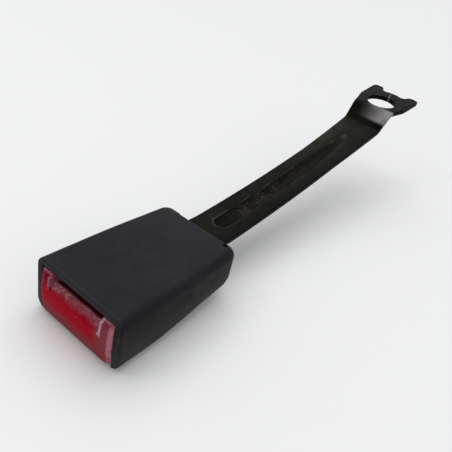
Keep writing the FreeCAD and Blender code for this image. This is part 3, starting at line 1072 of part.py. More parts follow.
def build_button():
    """The push button: a hollow block with the tongue slot across its top."""
    body = new_body("ButtonBody")
    side = sketch_on(body, "XZ_Plane", "ButtonSide")
    block_top = "(" + BASE_BOTTOM + " - ramp_gap)"
    lip_top = "(-cover_height + cover_wall + button_gap)"
    draw_outline(side, [
        ("horn_block", "-button_top"),
        ("-top_proud", "-button_top"),
        ("-(button_proud + face_apex)", "-(button_top + button_bottom) / 2", "face_radius"),
        ("-foot_proud", "-button_bottom"),
        ("button_lip", "-button_bottom"),
        ("button_lip", lip_top),
        ("button_block", lip_top),
        ("button_block", block_top),
        ("horn_block", block_top),
    ])
    extrude(body, "Pad", "ButtonBlock", side, "2 * button_half_width", symmetric=True)
    corners = sketch_on(body, "YZ_Plane", "ButtonCornerSketch")
    draw_outline(corners, box_corners("-2 * button_half_width", "2 * button_half_width",
                                      "-2 * button_bottom", "button_top"))
    draw_outline(corners, [
        ("-button_half_width", "0"),
        ("-button_half_width", "-button_bottom", "button_corner_round"),
        ("button_half_width", "-button_bottom", "button_corner_round"),
        ("button_half_width", "0"),
    ])
    extrude(body, "Pocket", "ButtonCorners", corners, symmetric=True)
    dress_edges(body, "Chamfer", "ButtonBevel", "button_bevel", is_button_face_edge)
    slot = sketch_on(body, "XZ_Plane", "ButtonSlotSide")
    run = "(2 * button_bevel)"
    draw_outline(slot, [
        ("-" + run, "-slot_sill - (sill_depth + " + run + ") * tan(sill_slope)"),
        ("sill_depth", "-slot_sill", "sill_round"),
        ("sill_depth + (-slot_sill - " + block_top + ") / tan(ramp_slope)", block_top),
        ("2 * button_block", block_top),
        ("2 * button_block", "0"),
        ("-" + run, "0"),
    ])
    extrude(body, "Pocket", "ButtonSlot", slot, "2 * slot_half_width", symmetric=True)
    shoulders = sketch_on(body, "YZ_Plane", "ButtonShoulderSketch", "rim_depth + button_gap")
    draw_outline(shoulders, box_corners("button_half_width - button_wall", "shoulder_half_width",
                                        "-shoulder_bottom", "-shoulder_top"))
    pad = extrude(body, "Pad", "ButtonShoulder", shoulders, "shoulder_thick")
    mirror_across(body, pad, "ButtonShoulderPair")
    hollow = sketch_on(body, "YZ_Plane", "ButtonHollowSketch", "face_thick")
    half = "(button_half_width - button_wall)"
    draw_outline(hollow, box_corners("-" + half, half, "-hollow_bottom", "-hollow_top", "sill_round"))
    extrude(body, "Pocket", "ButtonHollow", hollow, "2 * button_block", backwards=True)
    seats = sketch_on(body, "YZ_Plane", "ButtonSeatSketch", "rim_depth + button_gap + shoulder_thick")
    draw_circle(seats, "button_spring_side", "-button_spring_drop", "button_spring_radius + spring_room")
    cut = extrude(body, "Pocket", "ButtonSeat", seats, "2 * button_block", backwards=True)
    mirror_across(body, cut, "ButtonSeatPair")
    pegs = sketch_on(body, "YZ_Plane", "ButtonPegSketch", "rim_depth + button_gap + shoulder_thick")
    draw_circle(pegs, "button_spring_side", "-button_spring_drop", "peg_radius")
    pad = extrude(body, "Pad", "ButtonPeg", pegs, "peg_length")
    mirror_across(body, pad, "ButtonPegPair")
    hand_over(body, "release_button")
    return body


def is_button_face_edge(middle, edge):
    """Whether an edge bounds the button's face at one of its sides or at its top."""
    beside = near(abs(middle.y), "button_half_width") and middle.x < 0
    above = near(middle.z, "-button_top") and near(middle.x, "-top_proud")
    return beside or above


def build_spring(label, radius, wire, turns, length, place, turn=None):
    """A helical compression spring, drawn along z from zero and then put in its place."""
    body = new_body(label.title().replace("_", "") + "Body")
    section = sketch_on(body, "XZ_Plane", label.title().replace("_", "") + "Section")
    draw_circle(section, radius + " - " + wire + " / 2", wire + " / 2", wire + " / 2")
    coil = body.newObject("PartDesign::AdditiveHelix", label.title().replace("_", "") + "Coil")
    coil.Profile = section
    coil.ReferenceAxis = (section, ["V_Axis"])
    coil.Mode = "height-turns-angle"
    coil.Height = size(length + " - " + wire)
    coil.setExpression("Height", bound(length + " - " + wire))
    coil.Turns = size(turns)
    coil.setExpression("Turns", bound(turns))
    doc.recompute()
    hand_over(body, label, *place, turn=turn)
    return body


def build_springs():
    """The button's two springs, the ejector's spring and the latch's spring."""
    along = FreeCAD.Rotation(FreeCAD.Vector(0, 1, 0), 90)
    start = "(rim_depth + button_gap + shoulder_thick + seat_gap)"
    for label, side in (("button_spring_left", "button_spring_side"),
                        ("button_spring_right", "-button_spring_side")):
        build_spring(label, "button_spring_radius", "button_spring_wire", "button_spring_turns",
                     "post_depth - seat_gap - " + start, (start, side, "-button_spring_drop"), along)
    start = "(" + EJECTOR_START + " + ejector_length - ejector_bore_sink + seat_gap)"
    build_spring("ejector_spring", "ejector_spring_radius", "ejector_spring_wire", "ejector_spring_turns",
                 GUIDE_REAR + " - guide_wall - seat_gap - " + start, (start, "0", EJECTOR_AXIS), along)
    low = "(-latch_seat_drop + seat_gap)"
    build_spring("latch_spring", "latch_spring_radius", "latch_spring_wire", "latch_spring_turns",
                 LATCH_BOTTOM + " - seat_gap - " + low, ("latch_spring_depth", "0", low))


def build_pads():
    """The felt above the rivets and four pads under the frame's side walls."""
    felt = new_body("FeltBody")
    plan = sketch_on(felt, "XY_Plane", "FeltPlan", "-cover_wall - seat_gap / 2")
    draw_outline(plan, box_corners("tail_start + strap_thick", FRAME_REAR + " - base_gap",
                                   "-felt_half_width", "felt_half_width"))
    extrude(felt, "Pad", "Felt", plan, "felt_thick", backwards=True)
    hand_over(felt, "rattle_felt")

    pads = new_body("FramePadBody")
    plan = sketch_on(pads, "XY_Plane", "FramePadPlan", "-frame_wall_bottom - seat_gap")
    for start in ("front_rib_depth", "rear_rib_depth"):
        draw_outline(plan, box_corners(start, start + " + 2 * inner_rib_width",
                                       "frame_half_width - frame_wall", "frame_half_width"))
    pad = extrude(pads, "Pad", "FramePads", plan, "pad_thick", backwards=True)
    mirror_across(pads, pad, "FramePadPairs")
    hand_over(pads, "frame_pads")


build_strap()
build_upper_cover()
build_lower_cover()
build_frame()
build_rivets()
build_guide()
build_ejector()
build_latch()
build_pin()
build_clips()
build_bar()
build_slider()
build_button()
build_springs()
build_pads()
doc.recompute()

for item in doc.Objects:
    if "Invalid" in item.State or "Error" in item.State:
        raise RuntimeError("%s is not solved: %s" % (item.Label, item.State))
os.makedirs("parts", exist_ok=True)
for piece in pieces:
    if piece.Shape.isNull() or not piece.Shape.isValid():
        raise RuntimeError("%s has no valid shape" % piece.Label)
    piece.Shape.exportStep("parts/%s.step" % piece.Label)
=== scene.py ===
import logging
import math
from dataclasses import dataclass

import bmesh
import bpy
import numpy as np
from mathutils import Matrix, Vector
from mathutils.geometry import delaunay_2d_cdt


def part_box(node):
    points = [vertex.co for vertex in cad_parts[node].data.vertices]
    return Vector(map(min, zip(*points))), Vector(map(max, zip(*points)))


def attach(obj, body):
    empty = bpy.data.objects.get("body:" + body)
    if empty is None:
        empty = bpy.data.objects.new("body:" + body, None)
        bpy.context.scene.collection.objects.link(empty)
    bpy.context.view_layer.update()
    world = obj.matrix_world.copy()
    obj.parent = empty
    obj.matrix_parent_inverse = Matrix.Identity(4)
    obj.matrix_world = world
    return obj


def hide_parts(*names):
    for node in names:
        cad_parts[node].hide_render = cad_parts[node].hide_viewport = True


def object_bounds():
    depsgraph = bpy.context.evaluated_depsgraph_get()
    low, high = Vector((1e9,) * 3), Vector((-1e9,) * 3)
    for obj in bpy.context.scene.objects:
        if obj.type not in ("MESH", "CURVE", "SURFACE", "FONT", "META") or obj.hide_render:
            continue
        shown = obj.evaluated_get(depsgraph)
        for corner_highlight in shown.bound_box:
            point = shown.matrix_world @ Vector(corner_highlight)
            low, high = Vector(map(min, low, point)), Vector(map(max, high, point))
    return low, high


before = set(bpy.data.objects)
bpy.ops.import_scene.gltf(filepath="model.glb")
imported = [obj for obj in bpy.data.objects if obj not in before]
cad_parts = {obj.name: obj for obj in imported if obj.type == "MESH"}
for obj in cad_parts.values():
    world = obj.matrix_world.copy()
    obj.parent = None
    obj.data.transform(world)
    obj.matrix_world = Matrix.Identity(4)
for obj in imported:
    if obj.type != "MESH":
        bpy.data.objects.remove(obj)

CAD_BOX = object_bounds()
COVER_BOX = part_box("upper_cover")
MM = 0.001
HOUSING = "housing"
ARC_CHORD = 0.5  # the longest chord of a rounded corner, in millimetres
TRAVEL_ERROR = 1e-4  # how closely a travel is found, in millimetres
FILL_ERROR = 1e-5  # how near two points of the blank count as one, in millimetres
FILL_INSIDE = 1  # delaunay_2d_cdt's own number for the faces inside the loops

Triple = tuple[float, float, float]
Point = tuple[float, float]
Socket = bpy.types.NodeSocket

log = logging.getLogger("buckle")


def buckle_point(depth: float, side: float, height: float) -> Vector:
    """Turns a place of the buckle into a place of the scene.

    Args:
        depth: Millimetres behind the plane of the front opening.
        side: Millimetres from the middle plane, negative on the side of the small tool hole.
        height: Millimetres above the covers' flat top.

    Returns:
        The place in metres in the scene's frame.
    """
    high = COVER_BOX[1]
    return Vector((high.x - depth * MM, -side * MM, high.z + height * MM))


@dataclass(frozen=True)
class Cloud:
    """Noise of a size in millimetres, with the levels between which it steps smoothly."""

    size: float
    detail: float = 3.0
    rough: float = 0.55
    low: float = 0.3
    high: float = 0.7
    start: float = 0.0
    end: float = 1.0
    stretch: Triple = (1.0, 1.0, 1.0)
    turn: float = 0.0


@dataclass(frozen=True)
class Step:
    """A smooth step between two distances in millimetres, from one level to another."""

    low: float
    high: float
    start: float = 0.0
    end: float = 1.0


class Graph:
    """A material's node graph, with short calls for the nodes that the finishes use."""

    def __init__(self, name: str) -> None:
        """Makes an empty material with a principled shader.

        Args:
            name: The material's name.
        """
        self.material = bpy.data.materials.new(name)
        self.material.use_nodes = True
        self.tree = self.material.node_tree
        self.shader = self.tree.nodes["Principled BSDF"]
        self.spot = self.add("ShaderNodeTexCoord").outputs["Object"]

    def add(self, kind: str, **settings: object) -> bpy.types.Node:
        """Adds a node and sets its plain properties."""
        node = self.tree.nodes.new(kind)
        for key, value in settings.items():
            setattr(node, key, value)
        return node

    def plug(self, socket: Socket, value: object) -> None:
        """Links an output to a socket, or sets the socket to a plain value.

        Args:
            socket: The input socket.
            value: An output socket, a number, or a colour of three numbers.
        """
        if isinstance(value, Socket):
            self.tree.links.new(value, socket)
        elif isinstance(value, (tuple, list)) and socket.type == "RGBA":
            socket.default_value = (*value, 1.0)
        else:
            socket.default_value = value

    def noise(self, cloud: Cloud) -> Socket:
        """A noise value between 0 and 1.

        Args:
            cloud: The noise. Its size is that of the largest spots, detail is the number of finer
                layers, rough their strength, stretch how much longer the spots are along each
                axis, and turn a turn about the vertical axis in degrees.

        Returns:
            The socket with the value.
        """
        place = self.add("ShaderNodeMapping")
        self.plug(place.inputs["Vector"], self.spot)
        place.inputs["Rotation"].default_value = (0.0, 0.0, math.radians(cloud.turn))
        place.inputs["Scale"].default_value = [1.0 / (cloud.size * MM * part) for part in cloud.stretch]
        node = self.add("ShaderNodeTexNoise")
        self.plug(node.inputs["Vector"], place.outputs[0])
        node.inputs["Scale"].default_value = 1.0
        node.inputs["Detail"].default_value = cloud.detail
        node.inputs["Roughness"].default_value = cloud.rough
        return node.outputs["Fac"]

    def cloud(self, cloud: Cloud) -> Socket:
        """Noise that steps between a cloud's levels."""
        return self.span(self.noise(cloud), cloud.low, cloud.high, cloud.start, cloud.end)

    def sums(self, operation: str, first: object, second: object = 0.0, third: object = 0.0) -> Socket:
        """One arithmetic step on values."""
        node = self.add("ShaderNodeMath", operation=operation)
        for socket, value in zip(node.inputs, (first, second, third)):
            self.plug(socket, value)
        return node.outputs[0]

    def product(self, first: object, *others: object) -> Socket:
        """The product of several masks."""
        for other in others:
            first = self.sums("MULTIPLY", first, other)
        return first

    def most(self, first: object, *others: object) -> Socket:
        """The largest of several masks."""
        for other in others:
            first = self.sums("MAXIMUM", first, other)
        return first

    def span(self, value: object, low: float, high: float, start: float = 0.0, end: float = 1.0) -> Socket:
        """A smooth step of a value from one level to another.

        Args:
            value: The value that is read.
            low: Where the step starts.
            high: Where the step ends.
            start: The level below the step.
            end: The level above the step.

        Returns:
            The socket with the stepped value.
        """
        node = self.add("ShaderNodeMapRange", interpolation_type="SMOOTHSTEP")
        for socket, item in zip(node.inputs, (value, low, high, start, end)):
            self.plug(socket, item)
        return node.outputs[0]

    def step(self, distance: Socket, step: Step) -> Socket:
        """A smooth step over a distance that is in metres."""
        return self.span(distance, step.low * MM, step.high * MM, step.start, step.end)

    def blend(self, share: object, first: object, second: object) -> Socket:
        """A mix of two colours."""
        node = self.add("ShaderNodeMix", data_type="RGBA")
        self.plug(node.inputs["Factor"], share)
        self.plug(node.inputs["A"], first)
        self.plug(node.inputs["B"], second)
        return node.outputs["Result"]

    def along(self, axis: str) -> Socket:
        """One coordinate of the surface, in metres in the scene's frame."""
        node = self.add("ShaderNodeSeparateXYZ")
        self.plug(node.inputs[0], self.spot)
        return node.outputs[axis]

    def below_top(self) -> Socket:
        """The distance below the covers' flat top, in metres."""
        return self.sums("SUBTRACT", COVER_BOX[1].z, self.along("Z"))

    def near(self, place: Vector, reach_mm: float, fade_mm: float) -> Socket:
        """A mask that is 1 near a place and fades out.

        Args:
            place: The middle of the mask.
            reach_mm: The distance at which it starts to fade.
            fade_mm: The distance over which it fades.

        Returns:
            The socket with the mask.
        """
        node = self.add("ShaderNodeVectorMath", operation="DISTANCE")
        self.plug(node.inputs[0], self.spot)
        node.inputs[1].default_value = place
        return self.step(node.outputs["Value"], Step(reach_mm, reach_mm + fade_mm, 1.0, 0.0))

    def painted(self, name: str) -> Socket:
        """A value that the mesh carries on its points."""
        return self.add("ShaderNodeAttribute", attribute_name=name).outputs["Fac"]

    def relief(self, *layers: tuple[object, float]) -> None:
        """Bumps of the surface, from pairs of a height and its size in millimetres."""
        below = None
        for height, depth_mm in layers:
            node = self.add("ShaderNodeBump")
            self.plug(node.inputs["Height"], height)
            node.inputs["Distance"].default_value = depth_mm * MM
            if below is not None:
                self.plug(node.inputs["Normal"], below)
            below = node.outputs[0]
        self.plug(self.shader.inputs["Normal"], below)

    def dress(self, **inputs: object) -> bpy.types.Material:
        """Sets the shader's inputs by name, with underscores for spaces, and returns the material."""
        for key, value in inputs.items():
            self.plug(self.shader.inputs[key.replace("_", " ")], value)
        return self.material


@dataclass(frozen=True)
class CoverPlastic:
    """The covers' black plastic: fine moulded grain, dust, rubbed corners, painted side shade, floor light
    and lip highlight.
    """

    dark: Triple = (0.0092, 0.0086, 0.0128)
    light: Triple = (0.0125, 0.0120, 0.0165)
    # painted shade: the side walls are darker than the top
    side: Triple = (0.0048, 0.0052, 0.0046)
    # painted light: the low part of the walls is lighter, as if lit by the floor
    floor_bounce_light: Triple = (0.0230, 0.0245, 0.0235)
    earth: Triple = (0.055, 0.036, 0.016)
    dust: Triple = (0.090, 0.090, 0.085)
    roughness: Cloud = Cloud(7.0, start=0.45, end=0.57)
    specular: float = 0.08
    mottle: Cloud = Cloud(24.0, 4.0, low=0.35, high=0.68)
    side_shade_step: Step = Step(1.2, 4.0)
    floor_bounce_step: Step = Step(6.0, 17.0)
    # painted highlight along the front lip's top edge, in the dust colour
    lip_highlight_front: float = 0.7
    lip_highlight_back: float = 1.7
    lip_highlight_down: Step = Step(0.4, 2.6, 1.0, 0.0)
    lip_highlight_share: float = 0.10
    specks: Cloud = Cloud(0.9, 2.0, 0.7, 0.68, 0.76)
    speck_share: float = 0.12
    rubbed: tuple[tuple[Triple, float, float], ...] = (
        ((58.6, 14.5, -1.2), 1.6, 3.2),
        ((0.5, -20.6, -7.0), 0.3, 2.6),
        ((60.0, 18.6, -6.5), 0.8, 3.0),
    )
    rubbed_patches: Cloud = Cloud(1.3, 3.0, 0.65, 0.42, 0.60)
    rubbed_share: float = 0.6
    scratches: Cloud = Cloud(0.35, 1.0, 0.4, 0.70, 0.78, stretch=(90.0, 1.0, 1.0), turn=34.0)
    scratched: Cloud = Cloud(11.0, 2.0, low=0.50, high=0.62)
    scratch_share: float = 0.14
    swell: Cloud = Cloud(9.0, 1.0, 0.4)
    swell_depth: float = 0.05
    grain: Cloud = Cloud(0.42, 2.0, 0.6)
    grain_depth: float = 0.030

    def material(self) -> bpy.types.Material:
        """Builds the finish."""
        graph = Graph("cover_plastic")
        front = COVER_BOX[1].x
        down = graph.below_top()
        colour = graph.blend(graph.cloud(self.mottle), self.dark, self.light)
        # painted shade on the side walls, below the top's rounded edge
        colour = graph.blend(graph.step(down, self.side_shade_step), colour, self.side)
        # painted floor light, lightening the walls further down
        colour = graph.blend(graph.step(down, self.floor_bounce_step), colour, self.floor_bounce_light)
        # painted highlight: a pale band along the front lip's rounded top edge
        lip_highlight = graph.span(graph.along("X"), front - self.lip_highlight_back * MM, front - self.lip_highlight_front * MM)
        lip_highlight = graph.product(lip_highlight, graph.step(down, self.lip_highlight_down), self.lip_highlight_share)
        colour = graph.blend(lip_highlight, colour, self.dust)
        specks = graph.product(graph.cloud(self.specks), self.speck_share)
        colour = graph.blend(specks, colour, self.dust)
        patches = graph.cloud(self.rubbed_patches)
        for place, reach, fade in self.rubbed:
            near = graph.near(buckle_point(*place), reach, fade)
            colour = graph.blend(graph.product(near, patches, self.rubbed_share), colour, self.earth)
        scratch = graph.product(graph.cloud(self.scratches), graph.cloud(self.scratched), self.scratch_share)
        colour = graph.blend(scratch, colour, self.dust)
        graph.relief((graph.noise(self.swell), self.swell_depth), (graph.noise(self.grain), self.grain_depth))
        return graph.dress(Base_Color=colour, Roughness=graph.cloud(self.roughness),
                           Specular_IOR_Level=self.specular)


@dataclass(frozen=True)
class ButtonPlastic:
    """The button's red plastic, clear in the middle, hazed at its borders, scuffed at the slot, with painted
    highlights on its bevels.
    """

    clear: Triple = (0.330, 0.0004, 0.0120)
    shaded: Triple = (0.165, 0.0012, 0.0120)
    hazed: Triple = (0.190, 0.0400, 0.0520)
    # edge: painted highlight on the side bevel and the top corners
    edge: Triple = (0.430, 0.1500, 0.2000)
    scuffed: Triple = (0.450, 0.260, 0.300)
    roughness: float = 0.24
    dulled: float = 0.22
    specular: float = 0.010
    shade_down: Step = Step(5.0, 10.5, 1.0, 0.0)
    haze_low: Step = Step(13.0, 18.0)
    haze_right: Step = Step(8.5, 13.5)
    haze_left: Step = Step(-17.0, -14.5, 1.0, 0.0)
    haze_cloud: Cloud = Cloud(5.0, 4.0, 0.6, 0.28, 0.60, 0.62, 1.0)
    # where the painted bevel highlight lies: one side bevel and the top corners
    bevel_highlight_side: Step = Step(16.4, 16.8)
    corner_highlight_side: Step = Step(12.8, 13.6)
    corner_highlight_down: Step = Step(3.1, 3.9, 1.0, 0.0)
    bevel_highlight_cloud: Cloud = Cloud(2.6, 3.0, 0.6, 0.30, 0.55, 0.45, 1.0)
    swell: Cloud = Cloud(6.0, 2.0)
    swell_depth: float = 0.04
    scuff_depth: float = 0.03
    grain: Cloud = Cloud(0.6, 2.0)
    grain_depth: float = 0.006
    sill_edge: Cloud = Cloud(1.5, 5.0, 0.75, stretch=(1.0, 2.2, 1.0))
    sill_level: float = 4.9
    sill_swing: float = 4.6
    sill_soft: Step = Step(-0.15, 0.30)
    sill_start: Step = Step(5.4, 6.0)
    sill_patches: Cloud = Cloud(0.7, 4.0, 0.80, 0.44, 0.58, 0.06, 0.62, (1.0, 2.0, 1.0))
    veil_down: Step = Step(6.4, 9.6, 0.40, 0.0)
    veil_cloud: Cloud = Cloud(3.4, 4.0, 0.6, 0.40, 0.66, 0.1, 1.0, (1.0, 1.8, 1.0))
    blots: tuple[tuple[Triple, float], ...] = (
        ((0.6, 11.4, -7.6), 1.0),
        ((0.6, 9.4, -7.2), 0.8),
        ((0.6, 5.2, -7.4), 0.6),
        ((0.6, -10.4, -7.4), 0.9),
    )
    blot_fade: float = 1.2
    blot_base: float = 0.15
    left_side: Step = Step(-13.6, -12.6, 1.0, 0.0)
    left_down: Step = Step(4.0, 8.5, 0.30, 0.0)
    slot_shift: float = 0.5
    slot_side: Step = Step(12.6, 13.6, 1.0, 0.0)
    streak_place: float = 12.7
    streak_side: Step = Step(0.6, 1.0, 0.95, 0.0)
    streak_down: Step = Step(9.4, 10.4, 1.0, 0.0)
    streak_cloud: Cloud = Cloud(1.4, 3.0, 0.7, 0.30, 0.50, 0.6, 1.0)
    fine_marks: Cloud = Cloud(0.45, 2.0, 0.7, 0.60, 0.70, stretch=(1.0, 6.0, 1.0))
    fine_down: Step = Step(7.0, 13.0, 0.3, 0.0)

    def material(self) -> bpy.types.Material:
        """Builds the finish."""
        graph = Graph("button_plastic")
        across, down = graph.along("Y"), graph.below_top()
        colour = graph.blend(graph.step(down, self.shade_down), self.clear, self.shaded)
        haze = graph.most(graph.step(down, self.haze_low), graph.step(across, self.haze_right),
                          graph.step(across, self.haze_left))
        colour = graph.blend(graph.product(haze, graph.cloud(self.haze_cloud)), colour, self.hazed)
        # painted highlight on the side bevel and the top corners, broken up by a cloud
        corner_highlight = graph.product(graph.step(graph.sums("ABSOLUTE", across), self.corner_highlight_side),
                               graph.step(down, self.corner_highlight_down))
        rim = graph.most(graph.step(across, self.bevel_highlight_side), corner_highlight)
        colour = graph.blend(graph.product(rim, graph.cloud(self.bevel_highlight_cloud)), colour, self.edge)
        scuff = self.scuffs(graph, across, down)
        colour = graph.blend(scuff, colour, self.scuffed)
        rough = graph.sums("MULTIPLY_ADD", graph.most(scuff, haze), self.dulled, self.roughness)
        graph.relief((graph.noise(self.swell), self.swell_depth), (scuff, self.scuff_depth),
                     (graph.noise(self.grain), self.grain_depth))
        return graph.dress(Base_Color=colour, Roughness=rough, Specular_IOR_Level=self.specular)

    def scuffs(self, graph: Graph, across: Socket, down: Socket) -> Socket:
        """The pale marks that belt tongues leave along the slot's sill.

        Args:
            graph: The material's graph.
            across: The distance from the middle, in metres.
            down: The distance below the covers' top, in metres.

        Returns:
            The mask of the marks.
        """
        level = graph.sums("MULTIPLY_ADD", graph.noise(self.sill_edge), self.sill_swing * MM,
                           self.sill_level * MM)
        patches = graph.cloud(self.sill_patches)
        sill = graph.product(graph.step(graph.sums("SUBTRACT", level, down), self.sill_soft), patches,
                             graph.step(down, self.sill_start))
        veil = graph.product(graph.step(down, self.veil_down), graph.cloud(self.veil_cloud))
        marks = graph.most(sill, veil)
        for place, reach in self.blots:
            blot = graph.product(graph.near(buckle_point(*place), reach, self.blot_fade),
                                 graph.sums("ADD", patches, self.blot_base))
            marks = graph.most(marks, blot)
        left = graph.product(graph.step(across, self.left_side), graph.step(down, self.left_down))
        beside = graph.sums("ABSOLUTE", graph.sums("ADD", across, self.slot_shift * MM))
        marks = graph.product(graph.most(marks, left), graph.step(beside, self.slot_side))
        beside = graph.sums("ABSOLUTE", graph.sums("SUBTRACT", across, self.streak_place * MM))
        streak = graph.product(graph.step(beside, self.streak_side), graph.step(down, self.streak_down),
                               graph.cloud(self.streak_cloud))
        fine = graph.product(graph.cloud(self.fine_marks), graph.step(down, self.fine_down))
        return graph.most(marks, streak, fine)


@dataclass(frozen=True)
class StrapCoat:
    """The strap's satin black coat on steel: specked in the rib, with painted shade in the groove, worn
    bright and painted with a highlight on its rims.
    """

    dark: Triple = (0.0034, 0.0034, 0.0024)
    olive: Triple = (0.0085, 0.0088, 0.0050)
    plate: Triple = (0.0024, 0.0024, 0.0016)
    shaded: Triple = (0.0016, 0.0018, 0.0012)
    # painted shade in the pressed groove
    groove_shade: Triple = (0.0016, 0.0015, 0.0012)
    sheen: Triple = (0.0230, 0.0240, 0.0120)
    fleck: Triple = (0.105, 0.090, 0.076)
    # bright: bare steel where the rims are worn, with a painted highlight along them
    bright: Triple = (0.24, 0.235, 0.22)
    # painted highlight on the neck
    neck_highlight: Triple = (0.300, 0.280, 0.290)
    roughness: Cloud = Cloud(5.0, 4.0, start=0.30, end=0.48)
    groove_rough: float = 0.14
    specular: float = 0.025
    mottle: Cloud = Cloud(16.0, 4.0, 0.6, 0.36, 0.66)
    plate_along: Step = Step(6.0, 20.0, 1.0, 0.0)
    shade_side: Step = Step(2.5, 8.0, 0.0, 0.7)
    groove_low: float = 0.2
    groove_high: float = 0.8
    groove_shade_share: float = 0.75
    specks: Cloud = Cloud(0.60, 4.0, 0.80, 0.50, 0.60)
    speck_groups: Cloud = Cloud(7.0, 3.0, 0.6, 0.36, 0.58, 0.25, 1.0)
    speck_rise: Step = Step(60.0, 105.0, 0.22, 0.72)
    speck_fall: Step = Step(122.0, 134.0, 0.72, 0.22)
    rim_breaks: Cloud = Cloud(1.8, 4.0, 0.7, 0.44, 0.62, 0.15, 1.0, (4.0, 1.0, 1.0))
    rim_whole: Step = Step(124.0, 133.0, 0.0, 0.8)
    rim_rise: Step = Step(60.0, 135.0, 0.25, 1.0)
    rim_share: float = 0.7
    rim_metal: float = 0.5
    dust: Cloud = Cloud(0.55, 2.0, 0.7, 0.70, 0.78)
    dust_share: float = 0.16
    hole_reach: float = 8.25
    hole_fade: float = 0.25
    swell: Cloud = Cloud(5.5, 2.0, 0.5)
    swell_depth: float = 0.06
    grain: Cloud = Cloud(1.1, 2.0)
    grain_depth: float = 0.012
    pits: Cloud = Cloud(0.9, 3.0, 0.7)
    pit_depth: float = 0.10
    sheen_rise: Step = Step(18.0, 30.0)
    sheen_fall: Step = Step(44.0, 92.0, 1.0, 0.0)
    sheen_side: Step = Step(-7.5, -2.0, 1.0, 0.0)
    sheen_cloud: Cloud = Cloud(9.0, low=0.30, high=0.62, start=0.3, end=0.9)
    # the painted glint's line across the plate's land
    glint_slope: float = 0.29
    glint_side: float = 3.1
    glint_width: Step = Step(0.12, 0.34, 0.9, 0.0)
    glint_along: Step = Step(-7.6, -7.2, 1.0, 0.0)
    neck_highlight_rise: Step = Step(7.4, 9.0)
    neck_highlight_fall: Step = Step(14.8, 16.2, 1.0, 0.0)
    neck_highlight_side: Step = Step(-7.0, 12.5)
    neck_highlight_cloud: Cloud = Cloud(6.0, 3.0, 0.5, 0.25, 0.60, 0.6, 1.0)

    def material(self) -> bpy.types.Material:
        """Builds the finish."""
        graph = Graph("strap_coat")
        along, across = graph.along("X"), graph.along("Y")
        groove = graph.span(graph.painted("groove"), self.groove_low, self.groove_high)
        colour = graph.blend(graph.cloud(self.mottle), self.dark, self.olive)
        colour = graph.blend(graph.step(along, self.plate_along), colour, self.plate)
        colour = graph.blend(graph.step(across, self.shade_side), colour, self.shaded)
        sheen = self.patch(graph, (self.sheen_rise, self.sheen_fall), self.sheen_side, self.sheen_cloud)
        colour = graph.blend(sheen, colour, self.sheen)
        # painted shade: the groove darkens with its depth
        colour = graph.blend(graph.product(groove, self.groove_shade_share), colour, self.groove_shade)
        nearer = graph.sums("MINIMUM", graph.step(along, self.speck_rise), graph.step(along, self.speck_fall))
        specks = graph.product(graph.cloud(self.specks), graph.cloud(self.speck_groups), groove, nearer)
        colour = graph.blend(specks, colour, self.fleck)
        # the rib's rims: paint worn to bright steel, and a painted highlight
        broken = graph.most(graph.cloud(self.rim_breaks), graph.step(along, self.rim_whole))
        rim_wear_and_highlight = graph.product(graph.painted("rim"), broken, graph.step(along, self.rim_rise))
        colour = graph.blend(graph.product(rim_wear_and_highlight, self.rim_share), colour, self.bright)
        colour = graph.blend(graph.product(graph.cloud(self.dust), self.dust_share), colour, self.fleck)
        # painted highlight on the right half of the neck
        neck = self.patch(graph, (self.neck_highlight_rise, self.neck_highlight_fall), self.neck_highlight_side, self.neck_highlight_cloud)
        colour = graph.blend(neck, colour, self.neck_highlight)
        hole_wall = graph.near(Vector((0.0, 0.0, 0.0)), self.hole_reach, self.hole_fade)
        colour = graph.blend(hole_wall, colour, self.dark)
        # painted glint: a thin bright line from the hole to the fork
        colour = graph.blend(self.glint(graph), colour, self.bright)
        rough = graph.sums("MULTIPLY_ADD", groove, self.groove_rough, graph.cloud(self.roughness))
        graph.relief((graph.noise(self.swell), self.swell_depth), (graph.noise(self.grain), self.grain_depth),
                     (graph.product(graph.noise(self.pits), groove), self.pit_depth))
        return graph.dress(Base_Color=colour, Roughness=rough, Specular_IOR_Level=self.specular,
                           Metallic=graph.product(rim_wear_and_highlight, self.rim_metal))

    @staticmethod
    def patch(graph: Graph, ends: tuple[Step, Step], side: Step, cloud: Cloud) -> Socket:
        """A cloudy patch, such as the painted sheen beside the rib or the painted highlight on the neck.

        Args:
            graph: The material's graph.
            ends: Where it rises and falls along the strap.
            side: How it rises or falls across the strap.
            cloud: Its unevenness.

        Returns:
            The mask of the patch.
        """
        along = [graph.step(graph.along("X"), end) for end in ends]
        return graph.product(*along, graph.step(graph.along("Y"), side), graph.cloud(cloud))

    def glint(self, graph: Graph) -> Socket:
        """A painted glint: a thin bright line that runs from the hole to the fork."""
        line = graph.sums("MULTIPLY_ADD", graph.along("X"), self.glint_slope, self.glint_side * MM)
        beside = graph.sums("ABSOLUTE", graph.sums("SUBTRACT", graph.along("Y"), line))
        width = graph.step(beside, self.glint_width)
        return graph.product(width, graph.step(graph.along("X"), self.glint_along))


